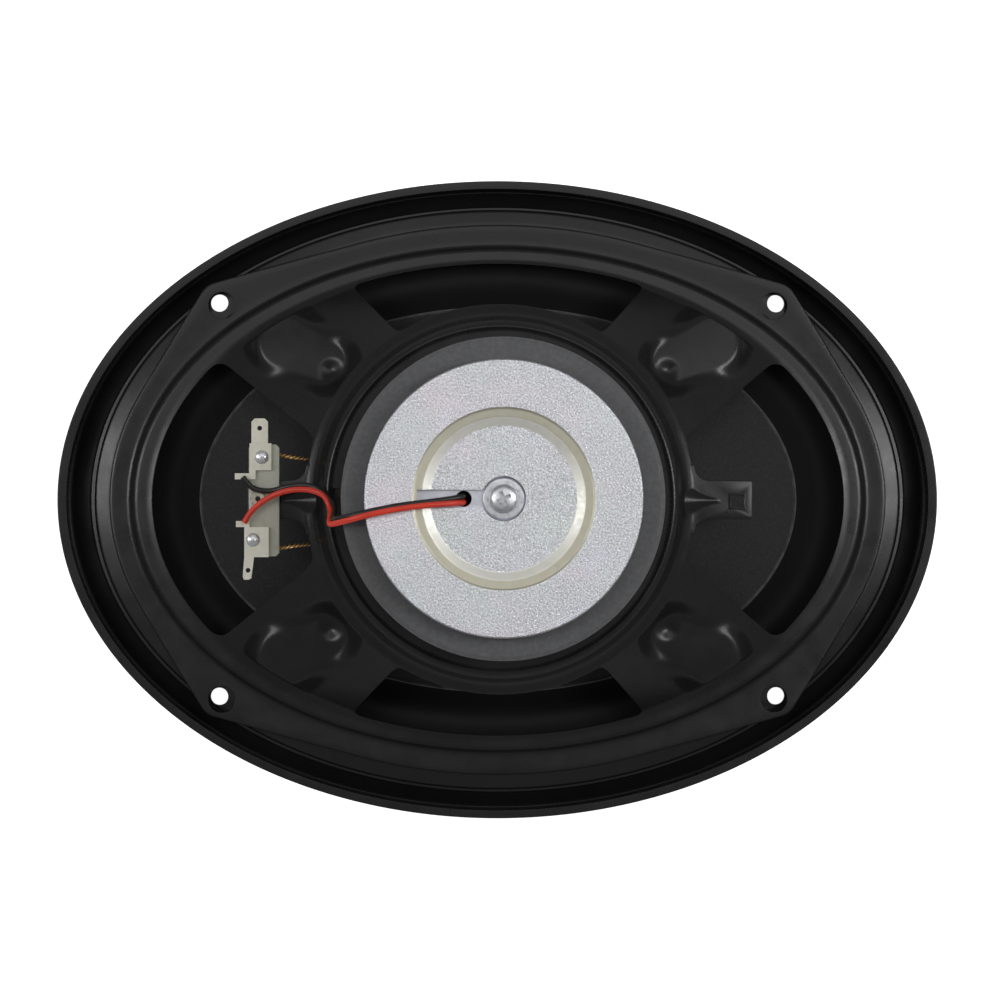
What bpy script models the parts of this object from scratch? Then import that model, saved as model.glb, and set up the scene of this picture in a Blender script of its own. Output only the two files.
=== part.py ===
"""A 6x9 inch coaxial car loudspeaker, lying on its front rim with the magnet up.

+Z runs from the listener to the back of the speaker, +X along its long side,
and the terminals are on the -X side. The origin is the middle of the front rim.
"""

import math

import bmesh
import bpy
from mathutils import Vector

MM = 0.001  # every size below is in millimetres

# Driving dimensions, as half-axes (along X, along Y) or radii, and heights.
OUTER = (120.4, 87.2)
SKIRT_TOP = 13.7
SKIRT_INNER = (117.9, 85.0)
LEDGE_TOP = 12.7
GRILLE_SEAT = (98.6, 70.1)
FRONT_OPENING = (96.4, 67.9)
HOLE = (76.2, 53.8)
HOLE_RADIUS = 2.4
BOLT_WELL = (4.4, 9.7)  # radius and top of the well behind each screw hole
METAL_HOLE_RADIUS = 3.7
METAL_HOLE_SHIFT = (0.7, 0.75)  # how far each hole in the metal sits inward and down from the plastic's
FLANGE = (106.2, 75.2)
EAR_RADIUS = 5.7
FLANGE_TOP = 14.0
SHEET = 1.0
WINDOW_EDGE = (94.4, 64.4)
WINDOW_EDGE_TOP = 17.2
FOOT_RADIUS = 52.0
FOOT_TOP = 41.8
SHELF_TOP = 50.0
NECK_TOP = 60.0
MAGNET_RADIUS = 42.0
MAGNET_BOTTOM = 65.3
MAGNET_TOP = 80.0
YOKE_RADIUS = 36.0
YOKE_TOP = 86.0
DISC_RADIUS = 19.3
DISC_DROP = 1.4
BAND_RADIUS = 23.6
POCKET_RADIUS = 5.7
POCKET_DROP = 3.4
SCREW_BORE = 2.3
GROOVE = (-22.4, -4.0, -2.35, 2.35)
POLE_RADIUS = 15.3
COIL_RADIUS = 15.7
CONE_EDGE = (81.1, 52.3)
CONE_EDGE_TOP = 17.0
CONE_NECK_RADIUS = 16.6
CONE_NECK_TOP = 46.6
GAP = 0.3
TWEETER_RADIUS = 21.6

# Angles, from the X axis, that bound each arm: on the foot circle and on the window ellipse.
ARM_FOOT = (18.7, 58.3)
ARM_RIM = (36.4, 64.9)
BOSS_OUTER = (57.9, 42.7, 9.2)
BOSS_INNER = (46.9, 37.0, 7.8)
BOSS_TOP = 31.0

WIRE_HOLE_X = -10.3
WIRE_RADIUS = 0.75
BOARD = (-67.0, -58.9, -15.2, 14.6)
BOARD_BOTTOM = 42.3
BOARD_TOP = 44.3
TAB_TOP = 42.0
BLADE = 0.8
EYELET_PLACE = (-64.6, 0.1)
TAB_HOLES = {-1: EYELET_PLACE, 1: (63.3, -0.5)}
RIVETS = {"positive": (-63.6, 11.2), "negative": (-65.9, -10.8)}

ROUND = 44


def clear_scene():
    for obj in list(bpy.data.objects):
        bpy.data.objects.remove(obj)


def material(name, colour, roughness, metallic=0.0):
    made = bpy.data.materials.get(name)
    if made:
        return made
    made = bpy.data.materials.new(name)
    made.use_nodes = True
    shader = made.node_tree.nodes["Principled BSDF"]
    shader.inputs["Base Color"].default_value = (*colour, 1.0)
    shader.inputs["Roughness"].default_value = roughness
    shader.inputs["Metallic"].default_value = metallic
    return made


def make(name, points, faces, look):
    """An object from points in millimetres, with its faces turned outward."""
    mesh = bpy.data.meshes.new(name)
    mesh.from_pydata([Vector(p) * MM for p in points], [], faces)
    if look:
        mesh.materials.append(look)
    shape = bmesh.new()
    shape.from_mesh(mesh)
    bmesh.ops.recalc_face_normals(shape, faces=shape.faces)
    shape.to_mesh(mesh)
    shape.free()
    obj = bpy.data.objects.new(name, mesh)
    bpy.context.scene.collection.objects.link(obj)
    mesh.shade_smooth()
    mesh.set_sharp_from_angle(angle=math.radians(35))
    return obj


def oval(half_x, half_y, z, steps=ROUND):
    """Points round an ellipse."""
    turns = [2 * math.pi * i / steps for i in range(steps)]
    return [(half_x * math.cos(t), half_y * math.sin(t), z) for t in turns]


def band(name, section, look, steps=ROUND):
    """A closed ring whose section is a loop of (half_x, half_y, z)."""
    rings = [oval(*corner, steps) for corner in section]
    points = [p for ring in rings for p in ring]
    faces = []
    for k in range(len(rings)):
        after = (k + 1) % len(rings)
        for i in range(steps):
            j = (i + 1) % steps
            faces.append((k * steps + i, k * steps + j, after * steps + j, after * steps + i))
    return make(name, points, faces, look)


def round_band(name, section, look, steps=ROUND):
    """A closed ring turned about Z, from a loop of (radius, z)."""
    return band(name, [(r, r, z) for r, z in section], look, steps)


def turned(name, profile, look, steps=ROUND, centre=(0, 0)):
    """A solid turned about an upright axis, from (radius, z) points whose ends get flat caps."""
    x, y = centre
    points = []
    for radius, z in profile:
        points += [(x + px, y + py, z) for px, py, _ in oval(radius, radius, z, steps)]
    last = (len(profile) - 1) * steps
    faces = [tuple(range(steps)), tuple(range(last, last + steps))]
    for k in range(len(profile) - 1):
        for i in range(steps):
            j = (i + 1) % steps
            row = k * steps
            faces.append((row + i, row + j, row + steps + j, row + steps + i))
    return make(name, points, faces, look)


def prism(name, outline, bottom, top, look):
    """An outline of (x, y) points pulled up from bottom to top."""
    count = len(outline)
    points = [(x, y, bottom) for x, y in outline] + [(x, y, top) for x, y in outline]
    faces = [tuple(range(count)), tuple(range(count, 2 * count))]
    for i in range(count):
        j = (i + 1) % count
        faces.append((i, j, count + j, count + i))
    return make(name, points, faces, look)


def rectangle(left, right, front, back):
    return [(left, front), (right, front), (right, back), (left, back)]


def helper(obj):
    obj.hide_render = True
    obj.display_type = "WIRE"
    return obj


def cut(obj, tool, operation="DIFFERENCE"):
    step = obj.modifiers.new(tool.name, "BOOLEAN")
    step.operation = operation
    step.solver = "EXACT"
    step.object = helper(tool)


def corner_points(half_x, half_y):
    return [(sx * half_x, sy * half_y) for sx in (-1, 1) for sy in (-1, 1)]


def smooth(x):
    x = min(max(x, 0.0), 1.0)
    return x * x * (3 - 2 * x)


# ---------------------------------------------------------------- front frame


def trim_section():
    """The trim ring's section: skirt, front rim, grille seat, flange ledge and the deep channel."""
    return [
        (*OUTER, SKIRT_TOP),
        (*OUTER, 4.0),
        (119.3, 86.1, 1.3),
        (116.6, 83.6, 0.0),
        (112.0, 79.2, 0.0),
        (100.2, 71.6, 1.0),
        (*GRILLE_SEAT, 1.6),
        (*GRILLE_SEAT, 3.2),
        (*FRONT_OPENING, 3.2),
        (*FRONT_OPENING, LEDGE_TOP - 1.0),
        (101.9, 72.5, LEDGE_TOP - 1.0),
        (101.9, 72.5, LEDGE_TOP),
        (106.5, 75.7, LEDGE_TOP),
        (109.9, 79.0, LEDGE_TOP - 0.9),
        (111.4, 80.1, LEDGE_TOP - 1.7),
        (117.2, 84.4, 3.4),
        (*SKIRT_INNER, 4.4),
        (*SKIRT_INNER, SKIRT_TOP),
    ]


def trim_ring():
    plastic = material("trim_plastic", (0.020, 0.020, 0.022), 0.35)
    ring = band("trim_ring", trim_section(), plastic)
    for i, centre in enumerate(corner_points(*HOLE)):
        well, shoulder = BOLT_WELL
        profile = [(well, -1.0), (well, shoulder), (HOLE_RADIUS, shoulder), (HOLE_RADIUS, LEDGE_TOP + 2)]
        cut(ring, turned(f"trim_hole_{i}", profile, None, 12, centre))


def grille_mesh():
    """A shallow dished oval of sheet steel, set in the trim ring's seat."""
    steel = material("grille_steel", (0.015, 0.015, 0.015), 0.45, 0.6)
    rings = [(98.1, 69.6, 2.3), (88.0, 60.0, 1.7), (60.0, 40.0, 1.2), (22.0, 15.0, 1.1)]
    steps = ROUND
    points = []
    for offset in (0.0, 0.6):
        for half_x, half_y, z in rings:
            points += oval(half_x, half_y, z + offset, steps)
        points.append((0, 0, rings[-1][2] + offset))
    layer = len(rings) * steps + 1
    faces = []
    for side in (0, layer):
        for k in range(len(rings) - 1):
            for i in range(steps):
                j = (i + 1) % steps
                row = side + k * steps
                faces.append((row + i, row + j, row + steps + j, row + steps + i))
        inner = side + (len(rings) - 1) * steps
        for i in range(steps):
            faces.append((inner + i, inner + (i + 1) % steps, side + layer - 1))
    for i in range(steps):
        j = (i + 1) % steps
        faces.append((i, j, layer + j, layer + i))
    make("grille_mesh", points, faces, steel)


# --------------------------------------------------------------------- basket


def hull_radius(angle):
    """How far the flange outline is from the centre: the ellipse and four ears in one tight belt."""
    best = 1e9
    for k in range(-80, 81):
        normal = angle + math.radians(k)
        nx, ny = math.cos(normal), math.sin(normal)
        reach = math.hypot(FLANGE[0] * nx, FLANGE[1] * ny)
        for x, y in corner_points(*HOLE):
            reach = max(reach, x * nx + y * ny + EAR_RADIUS)
        best = min(best, reach / math.cos(angle - normal))
    return best


def flange_point(half_x, half_y, turn):
    angle = math.atan2(half_y * math.sin(turn), half_x * math.cos(turn))
    radius = hull_radius(angle)
    return (radius * math.cos(angle), radius * math.sin(angle), FLANGE_TOP)


def quarter_columns():
    """(foot angle, rim angle, is it an arm) for the columns of one quarter, in degrees."""
    side, arm, end = 2, 6, 3
    columns = []
    for i in range(side):
        columns.append((ARM_FOOT[0] * i / side, ARM_RIM[0] * i / side, False))
    for i in range(arm):
        f = i / arm
        foot = ARM_FOOT[0] + (ARM_FOOT[1] - ARM_FOOT[0]) * f
        rim = ARM_RIM[0] + (ARM_RIM[1] - ARM_RIM[0]) * f
        columns.append((foot, rim, True))
    for i in range(end):
        f = i / end
        foot = ARM_FOOT[1] + (90 - ARM_FOOT[1]) * f
        rim = ARM_RIM[1] + (90 - ARM_RIM[1]) * f
        columns.append((foot, rim, False))
    return columns


def basket_columns():
    """All columns round the basket, each quarter the mirror of the one before it."""
    quarter = quarter_columns()
    ends = [(foot, rim) for foot, rim, _ in quarter] + [(90, 90)]
    arms = [arm for _, _, arm in quarter]
    columns = []
    for turn in range(4):
        for i in range(len(quarter)):
            if turn % 2 == 0:
                foot, rim = ends[i]
                arm = arms[i]
            else:
                foot, rim = (90 - v for v in ends[len(quarter) - i])
                arm = arms[len(quarter) - 1 - i]
            columns.append((math.radians(90 * turn + foot), math.radians(90 * turn + rim), arm))
    return columns


def boss_depth(x, y):
    """How far inside the arm's boss a point is: a belt round two circles."""
    ax, ay, ar = BOSS_OUTER
    bx, by, br = BOSS_INNER
    along = ((x - bx) * (ax - bx) + (y - by) * (ay - by)) / ((ax - bx) ** 2 + (ay - by) ** 2)
    along = min(max(along, 0.0), 1.0)
    cx, cy = bx + (ax - bx) * along, by + (ay - by) * along
    return br + (ar - br) * along - math.hypot(x - cx, y - cy)


def arm_point(foot, rim, f):
    """A point of an arm's sloping face, with the level boss pressed into it."""
    start = (FOOT_RADIUS * math.cos(foot), FOOT_RADIUS * math.sin(foot), FOOT_TOP)
    end = (WINDOW_EDGE[0] * math.cos(rim), WINDOW_EDGE[1] * math.sin(rim), WINDOW_EDGE_TOP)
    x, y, z = (s + (e - s) * f for s, e in zip(start, end))
    share = smooth((boss_depth(abs(x), abs(y)) + 1.5) / 3.0)
    return (x, y, z + (BOSS_TOP - z) * share)


def basket_rows():
    """Each row's height and shape, from the hole for the coil out to the flange's edge."""
    turned_rows = [
        (18.5, NECK_TOP),
        (28.5, NECK_TOP),
        (30.6, NECK_TOP - 1.6),
        (31.4, SHELF_TOP + 1.2),
        (33.0, SHELF_TOP),
        (44.6, SHELF_TOP),
        (46.1, SHELF_TOP + 0.4),
        (47.4, SHELF_TOP - 0.8),
        (50.2, FOOT_TOP + 0.8),
        (FOOT_RADIUS, FOOT_TOP),
    ]
    oval_rows = [
        (*WINDOW_EDGE, WINDOW_EDGE_TOP),
        (98.6, 67.8, 16.2),
        (99.6, 68.5, 15.6),
        (101.3, 69.6, FLANGE_TOP),
    ]
    return turned_rows, oval_rows


def basket_grid(columns, arm_rows):
    turned_rows, oval_rows = basket_rows()
    rows = []
    for r, z in turned_rows:
        rows.append([(r * math.cos(foot), r * math.sin(foot), z) for foot, _, _ in columns])
    for k in range(1, arm_rows):
        rows.append([arm_point(foot, rim, k / arm_rows) for foot, rim, _ in columns])
    for half_x, half_y, z in oval_rows:
        rows.append([(half_x * math.cos(rim), half_y * math.sin(rim), z) for _, rim, _ in columns])
    rows.append([flange_point(*WINDOW_EDGE, rim) for _, rim, _ in columns])
    return rows, len(turned_rows) - 1


def basket_skin(name, columns, arm_rows, look):
    """The rear face of the pressed sheet, with the four windows left open."""
    rows, first_arm_row = basket_grid(columns, arm_rows)
    count = len(columns)
    points = [p for row in rows for p in row]
    faces = []
    for k in range(len(rows) - 1):
        for i in range(count):
            in_arms = first_arm_row <= k < first_arm_row + arm_rows
            if in_arms and not columns[i][2]:
                continue
            j = (i + 1) % count
            faces.append((k * count + i, (k + 1) * count + i, (k + 1) * count + j, k * count + j))
    used = sorted({corner for face in faces for corner in face})
    place = {corner: i for i, corner in enumerate(used)}
    faces = [tuple(place[corner] for corner in face) for face in faces]
    return make(name, [points[corner] for corner in used], faces, look)


def tab_pieces(side):
    """A flat tab that reaches out over the side window, and the rib that stiffens its root."""
    span = sorted((side * 50.7, side * 67.4))
    tab = prism(f"tab_{side}", rectangle(*span, -5.3, 5.1), TAB_TOP - SHEET, TAB_TOP, None)
    foot, tip = side * 49.6, side * 58.0
    points = []
    for y in (-1.7, 1.6):
        points += [(foot, y, TAB_TOP - 0.6), (tip, y, TAB_TOP - 0.6), (tip, y, TAB_TOP + 0.2), (foot, y, 45.0)]
    faces = [(0, 1, 2, 3), (4, 5, 6, 7), (0, 1, 5, 4), (1, 2, 6, 5), (2, 3, 7, 6), (3, 0, 4, 7)]
    return tab, make(f"rib_{side}", points, faces, None)


def basket():
    paint = material("basket_paint", (0.030, 0.030, 0.032), 0.45, 0.1)
    frame = basket_skin("basket", basket_columns(), 6, paint)
    if frame.data.polygons[0].normal.z < 0:
        frame.data.flip_normals()
    sheet = frame.modifiers.new("sheet", "SOLIDIFY")
    sheet.thickness = SHEET * MM
    sheet.offset = -1.0
    for side in (-1, 1):
        for piece in tab_pieces(side):
            cut(frame, piece, "UNION")
        x, y = TAB_HOLES[side]
        hole = rectangle(x - 1.95, x + 1.95, y - 1.85, y + 1.85)
        cut(frame, prism(f"square_hole_{side}", hole, TAB_TOP - 2, TAB_TOP + 2, None))
    slot = rectangle(-45.6, -42.6, -4.2, 2.9)
    cut(frame, prism("lead_slot", slot, SHELF_TOP - 2.5, SHELF_TOP + 2, None))
    inward, drop = METAL_HOLE_SHIFT
    for i, (x, y) in enumerate(corner_points(HOLE[0] - inward, HOLE[1])):
        profile = [(METAL_HOLE_RADIUS, FLANGE_TOP - 2), (METAL_HOLE_RADIUS, FLANGE_TOP + 1)]
        cut(frame, turned(f"metal_hole_{i}", profile, None, 16, (x, y - drop)))


# ---------------------------------------------------------------- magnet motor


def top_plate():
    zinc = material("zinc_plate", (0.62, 0.60, 0.55), 0.35, 1.0)
    low, high = NECK_TOP + GAP, MAGNET_BOTTOM - GAP
    round_band("top_plate", [(17.3, low), (37.2, low), (37.5, low + 0.5), (37.5, high), (17.3, high)], zinc)


def magnet():
    ferrite = material("ferrite", (0.090, 0.090, 0.095), 0.55)
    low, high, edge = MAGNET_BOTTOM, MAGNET_TOP, 0.8
    section = [(19.0, low), (MAGNET_RADIUS - edge, low), (MAGNET_RADIUS, low + edge)]
    section += [(MAGNET_RADIUS, high - edge), (MAGNET_RADIUS - edge, high), (19.0, high)]
    round_band("magnet", section, ferrite)


def yoke():
    """The back plate and pole in one, with the coined disc, the screw pocket and the lead's groove."""
    zinc = material("zinc_plate", (0.62, 0.60, 0.55), 0.35, 1.0)
    low = MAGNET_TOP + GAP
    disc, floor = YOKE_TOP - DISC_DROP, YOKE_TOP - POCKET_DROP
    profile = [
        (SCREW_BORE, NECK_TOP - 0.4),
        (POLE_RADIUS - 0.8, NECK_TOP - 0.4),
        (POLE_RADIUS, NECK_TOP + 0.4),
        (POLE_RADIUS, low),
        (YOKE_RADIUS - 0.8, low),
        (YOKE_RADIUS, low + 0.8),
        (YOKE_RADIUS, YOKE_TOP - 0.8),
        (YOKE_RADIUS - 0.8, YOKE_TOP),
        (BAND_RADIUS, YOKE_TOP),
        (BAND_RADIUS - 2.5, YOKE_TOP - 0.5),
        (DISC_RADIUS, disc),
        (POCKET_RADIUS, disc),
        (POCKET_RADIUS, floor),
        (SCREW_BORE, floor),
    ]
    plate = round_band("yoke", profile, zinc)
    cut(plate, prism("lead_groove", rectangle(*GROOVE), floor + 0.02, YOKE_TOP + 1, None))
    hole = [(2.1, NECK_TOP - 2), (2.1, YOKE_TOP)]
    cut(plate, turned("lead_hole", hole, None, 14, (WIRE_HOLE_X, 0)))


def center_screw():
    steel = material("screw_steel", (0.55, 0.54, 0.50), 0.30, 1.0)
    seat = YOKE_TOP - 2.0
    profile = [(2.0, 47.0), (2.0, seat), (3.7, seat), (3.7, seat + 0.9), (3.0, seat + 1.6), (1.6, seat + 1.9)]
    screw = turned("center_screw", profile, steel, 24)
    for i in range(2):
        turn = math.radians(25 + 90 * i)
        c, s = math.cos(turn), math.sin(turn)
        outline = [(c * x - s * y, s * x + c * y) for x, y in rectangle(-2.1, 2.1, -0.35, 0.35)]
        cut(screw, prism(f"cross_{i}", outline, seat + 0.6, seat + 3, None))
    low, reach = YOKE_TOP - POCKET_DROP + GAP, POCKET_RADIUS - 0.4
    ring = [(SCREW_BORE, low), (reach, low), (reach, low + 0.8), (SCREW_BORE, low + 0.8)]
    round_band("screw_washer", ring, material("washer_steel", (0.60, 0.58, 0.54), 0.35, 1.0), 24)


# ---------------------------------------------------------------- moving parts


def cone_profile(f):
    """(half_x, half_y, z) of the cone's rear face, from its neck (0) to its edge (1)."""
    half_x = CONE_NECK_RADIUS + (CONE_EDGE[0] - CONE_NECK_RADIUS) * f
    half_y = CONE_NECK_RADIUS + (CONE_EDGE[1] - CONE_NECK_RADIUS) * f
    return half_x, half_y, CONE_EDGE_TOP + (CONE_NECK_TOP - CONE_EDGE_TOP) * (1 - f) ** 1.15


def cone():
    paper = material("cone_paper", (0.022, 0.022, 0.024), 0.75)
    rows = [cone_profile(k / 5) for k in range(6)]
    section = rows + [(half_x, half_y, z - 0.9) for half_x, half_y, z in reversed(rows)]
    band("cone", section, paper, 40)


def voice_coil():
    former = material("former_foil", (0.55, 0.55, 0.56), 0.35, 1.0)
    inner, outer = COIL_RADIUS, COIL_RADIUS + 0.4
    round_band("voice_coil_former", [(inner, 43.0), (outer, 43.0), (outer, 69.6), (inner, 69.6)], former, 36)
    copper = material("coil_copper", (0.60, 0.25, 0.10), 0.35, 1.0)
    inner, outer = outer + 0.1, outer + 0.7
    round_band("voice_coil_winding", [(inner, 56.4), (outer, 56.4), (outer, 69.2), (inner, 69.2)], copper, 36)


def surround():
    """A half roll of rubber between the cone's edge and the flange."""
    rubber = material("surround_rubber", (0.012, 0.012, 0.013), 0.6)
    inner, outer, depth = (84.3, 55.5), (95.8, 67.4), 6.4
    roll = []
    for k in range(7):
        f = k / 6
        half_x = inner[0] + (outer[0] - inner[0]) * f
        half_y = inner[1] + (outer[1] - inner[1]) * f
        level = 15.8 + (12.7 - 15.8) * f
        roll.append((half_x, half_y, level - depth * math.sin(math.pi * f)))
    rear = [(78.5, 49.7, 15.8)] + roll + [(101.4, 72.0, 12.7)]
    front = [(half_x, half_y, z - 0.6) for half_x, half_y, z in reversed(rear)]
    band("surround", rear + front, rubber, 36)


def spider():
    """A corrugated cloth disc between the coil former and the shelf of the basket."""
    cloth = material("spider_cloth", (0.70, 0.50, 0.12), 0.85)
    level = SHELF_TOP - SHEET - 0.35
    rear = [(COIL_RADIUS + 0.5, level - 0.6), (18.4, level - 0.6)]
    waves = 6
    for k in range(1, waves + 1):
        swing = 0.6 if k % 2 else -0.6
        rear.append((18.4 + (34.5 - 18.4) * k / (waves + 1), level - 0.7 + swing))
    rear += [(34.5, level), (44.0, level)]
    front = [(r, z - 0.5) for r, z in reversed(rear)]
    round_band("spider", rear + front, cloth, 28)


# -------------------------------------------------------------------- tweeter


def tweeter_mounting():
    plastic = material("tweeter_plastic", (0.020, 0.020, 0.022), 0.4)
    post = [(SCREW_BORE, 19.3), (9.0, 19.3), (9.0, 20.8), (5.6, 23.5)]
    post += [(5.6, 56.5), (8.0, 57.5), (8.0, 59.3), (SCREW_BORE, 59.3)]
    round_band("tweeter_post", post, plastic, 24)
    cup = [(20.0, 19.0), (TWEETER_RADIUS, 17.4), (TWEETER_RADIUS, 6.4), (20.0, 6.4), (20.0, 17.2)]
    turned("tweeter_housing", cup, plastic, 32)
    face = [(13.0, 4.4), (19.6, 4.4), (21.4, 5.6), (21.4, 6.1), (19.0, 6.1), (10.2, 7.6), (10.2, 7.0)]
    round_band("tweeter_faceplate", face, material("faceplate_finish", (0.30, 0.30, 0.31), 0.3, 0.7), 32)
    sleeve = material("capacitor_sleeve", (0.020, 0.030, 0.080), 0.4)
    can = [(2.8, 8.6), (3.2, 9.0), (3.2, 16.2), (2.8, 16.6)]
    turned("crossover_capacitor", can, sleeve, 20, (0, 15.0))


def tweeter_motor():
    steel = material("tweeter_steel", (0.55, 0.55, 0.55), 0.4, 1.0)
    turned("tweeter_cup", [(9.8, 16.9), (9.8, 9.9), (8.4, 9.9), (8.4, 15.4)], steel, 24)
    nickel = material("tweeter_nickel", (0.70, 0.70, 0.68), 0.25, 1.0)
    turned("tweeter_magnet", [(6.3, 15.1), (6.3, 10.6)], nickel, 24)


def tweeter_dome():
    """The dome bulges toward the listener and carries its own small coil."""
    rim, crown, height, film = 9.6, 7.8, 2.6, 0.35
    base = 8.0
    turns = [math.radians(a) for a in (75, 50, 25, 0)]
    front = [(crown * math.cos(t), base - height * math.sin(t)) for t in turns]
    front.append((rim, base))
    rear = [(r, z + film) for r, z in reversed(front)]
    turned("tweeter_dome", front + rear, material("dome_film", (0.30, 0.30, 0.32), 0.3, 0.3), 24)
    coil = [(6.9, base + 1.0), (7.7, base + 1.0), (7.7, 13.6), (6.9, 13.6)]
    round_band("tweeter_coil", coil, material("coil_copper", (0.60, 0.25, 0.10), 0.35, 1.0), 24)


# ------------------------------------------------------------------ terminals


def terminal_board():
    """A thin insulating board over the left tab, with holes for its eyelet and two rivets."""
    paxolin = material("board_laminate", (0.42, 0.43, 0.34), 0.5)
    left, right, front, back = BOARD
    corner = 0.9
    outline = [(left + corner, front), (right - corner, front), (right, front + corner)]
    outline += [(right, back - corner), (right - corner, back), (left + corner, back)]
    outline += [(left, back - corner), (left, front + corner)]
    board = prism("terminal_board", outline, BOARD_BOTTOM, BOARD_TOP, paxolin)
    holes = [(EYELET_PLACE, 1.5), (RIVETS["positive"], 1.1), (RIVETS["negative"], 1.1)]
    for i, (centre, radius) in enumerate(holes):
        profile = [(radius, BOARD_BOTTOM - 1), (radius, BOARD_TOP + 1)]
        cut(board, turned(f"board_hole_{i}", profile, None, 12, centre))


def eyelet():
    """The hollow rivet that holds the board through the tab's square hole."""
    brass = material("eyelet_brass", (0.60, 0.52, 0.34), 0.35, 1.0)
    low, high = TAB_TOP - SHEET - GAP, BOARD_TOP + GAP
    section = [(0.75, low - 0.6), (1.25, low - 0.6), (2.3, low - 0.3), (2.3, low), (1.2, low + 0.1)]
    section += [(1.2, high), (2.0, high), (1.9, high + 0.4), (0.75, high + 0.4)]
    barrel = round_band("board_eyelet", section, brass, 12)
    barrel.location = (EYELET_PLACE[0] * MM, EYELET_PLACE[1] * MM, 0)


def terminals():
    """Each terminal is one stamping: a base on the board, a push-on blade and a soldering lug."""
    tin = material("tinned_brass", (0.66, 0.63, 0.52), 0.3, 1.0)
    low, high = BOARD_TOP + GAP, BOARD_TOP + GAP + BLADE
    wide = [(-66.8, 7.7), (-66.8, 6.9), (-70.7, 6.9), (-70.7, 5.3), (-65.2, 5.3), (-65.2, 7.7), (-61.0, 7.7)]
    wide += [(-61.0, 14.9), (-61.9, 14.9), (-61.9, 20.6), (-62.8, 21.5), (-65.4, 21.5), (-66.3, 20.6)]
    wide += [(-66.3, 14.9), (-66.8, 14.9)]
    narrow = [(-68.2, -8.2), (-68.2, -7.4), (-70.4, -7.4), (-70.4, -5.8), (-66.8, -5.8), (-66.8, -7.4)]
    narrow += [(-61.7, -7.4), (-61.7, -15.4), (-65.6, -15.4), (-66.3, -21.0), (-67.0, -21.4), (-68.3, -21.4)]
    narrow += [(-68.6, -20.6), (-68.2, -15.4)]
    for pole, outline, hole in (("positive", wide, (-64.1, 18.9)), ("negative", narrow, (-67.2, -18.9))):
        blade = prism(f"terminal_{pole}", outline, low, high, tin)
        for spot, radius in ((hole, 0.65), (RIVETS[pole], 1.1)):
            profile = [(radius, low - 1), (radius, high + 1)]
            cut(blade, turned(f"blade_hole_{pole}_{radius}", profile, None, 12, spot))
        head = high + GAP
        foot = BOARD_BOTTOM - GAP
        profile = [(0.9, foot - 0.5), (1.5, foot - 0.3), (1.5, foot), (0.8, foot + 0.05), (0.8, head)]
        profile += [(1.9, head), (1.7, head + 0.4), (0.9, head + 0.7)]
        solder = material("rivet_solder", (0.62, 0.62, 0.62), 0.25, 1.0)
        turned(f"terminal_rivet_{pole}", profile, solder, 12, RIVETS[pole])


# ---------------------------------------------------------------------- leads


def smooth_route(stops, spacing):
    """Points along a smooth curve through the route's own points."""
    stops = [Vector(p) for p in stops]
    ends = [2 * stops[0] - stops[1], *stops, 2 * stops[-1] - stops[-2]]
    route = []
    for a, b, c, d in zip(ends, ends[1:], ends[2:], ends[3:]):
        parts = max(1, round((c - b).length / spacing))
        for k in range(parts):
            t = k / parts
            bend = (2 * a - 5 * b + 4 * c - d) * t * t + (3 * b - a - 3 * c + d) * t ** 3
            route.append((2 * b + (c - a) * t + bend) / 2)
    return route + [stops[-1]]


def lead(name, stops, radius, spacing, look):
    line = bpy.data.curves.new(name, "CURVE")
    line.dimensions = "3D"
    line.bevel_depth = radius * MM
    line.bevel_resolution = 2
    line.use_fill_caps = True
    line.materials.append(look)
    route = smooth_route(stops, spacing)
    spline = line.splines.new("POLY")
    spline.points.add(len(route) - 1)
    for point, place in zip(spline.points, route):
        point.co = (*(place * MM), 1.0)
    obj = bpy.data.objects.new(name, line)
    bpy.context.scene.collection.objects.link(obj)


def tweeter_leads():
    """The twin lead from the soldering lugs, over the magnet and down through the pole to the tweeter."""
    deck = BOARD_TOP + GAP + BLADE + WIRE_RADIUS + GAP
    shared = [
        (WIRE_HOLE_X, 0.0, 19.6),
        (WIRE_HOLE_X, 0.0, 40.0),
        (WIRE_HOLE_X, 0.0, 60.0),
        (WIRE_HOLE_X, 0.0, 78.0),
        (WIRE_HOLE_X - 0.6, 0.0, 83.0),
        (WIRE_HOLE_X - 3.8, 0.0, 84.6),
        (-18.0, -0.1, 85.6),
        (-24.0, -0.7, 87.1),
        (-33.0, -2.9, 87.2),
        (-38.6, -4.6, 86.0),
        (-43.2, -5.8, 80.4),
        (-44.4, -5.2, 66.0),
        (-45.6, -3.2, 55.0),
        (-48.4, 0.6, 51.6),
    ]
    spread = [0.92] * 6 + [1.0] * 5 + [1.2, 1.3, 1.3]
    black = [(x, y + side, z) for (x, y, z), side in zip(shared, spread)]
    black += [(-53.5, 3.6, 48.6), (-60.5, 2.8, deck + 0.5), (-66.2, 3.6, deck + 0.4), (-69.2, 6.0, deck)]
    red = [(x, y - side, z) for (x, y, z), side in zip(shared, spread)]
    red += [(-53.4, 0.8, 49.0), (-58.6, -1.2, deck + 0.7), (-63.4, -4.6, deck + 0.5), (-68.6, -6.5, deck)]
    lead("tweeter_lead_black", black, WIRE_RADIUS, 4.0, material("lead_black", (0.012, 0.012, 0.012), 0.4))
    lead("tweeter_lead_red", red, WIRE_RADIUS, 4.0, material("lead_red", (0.45, 0.02, 0.02), 0.4))


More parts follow.
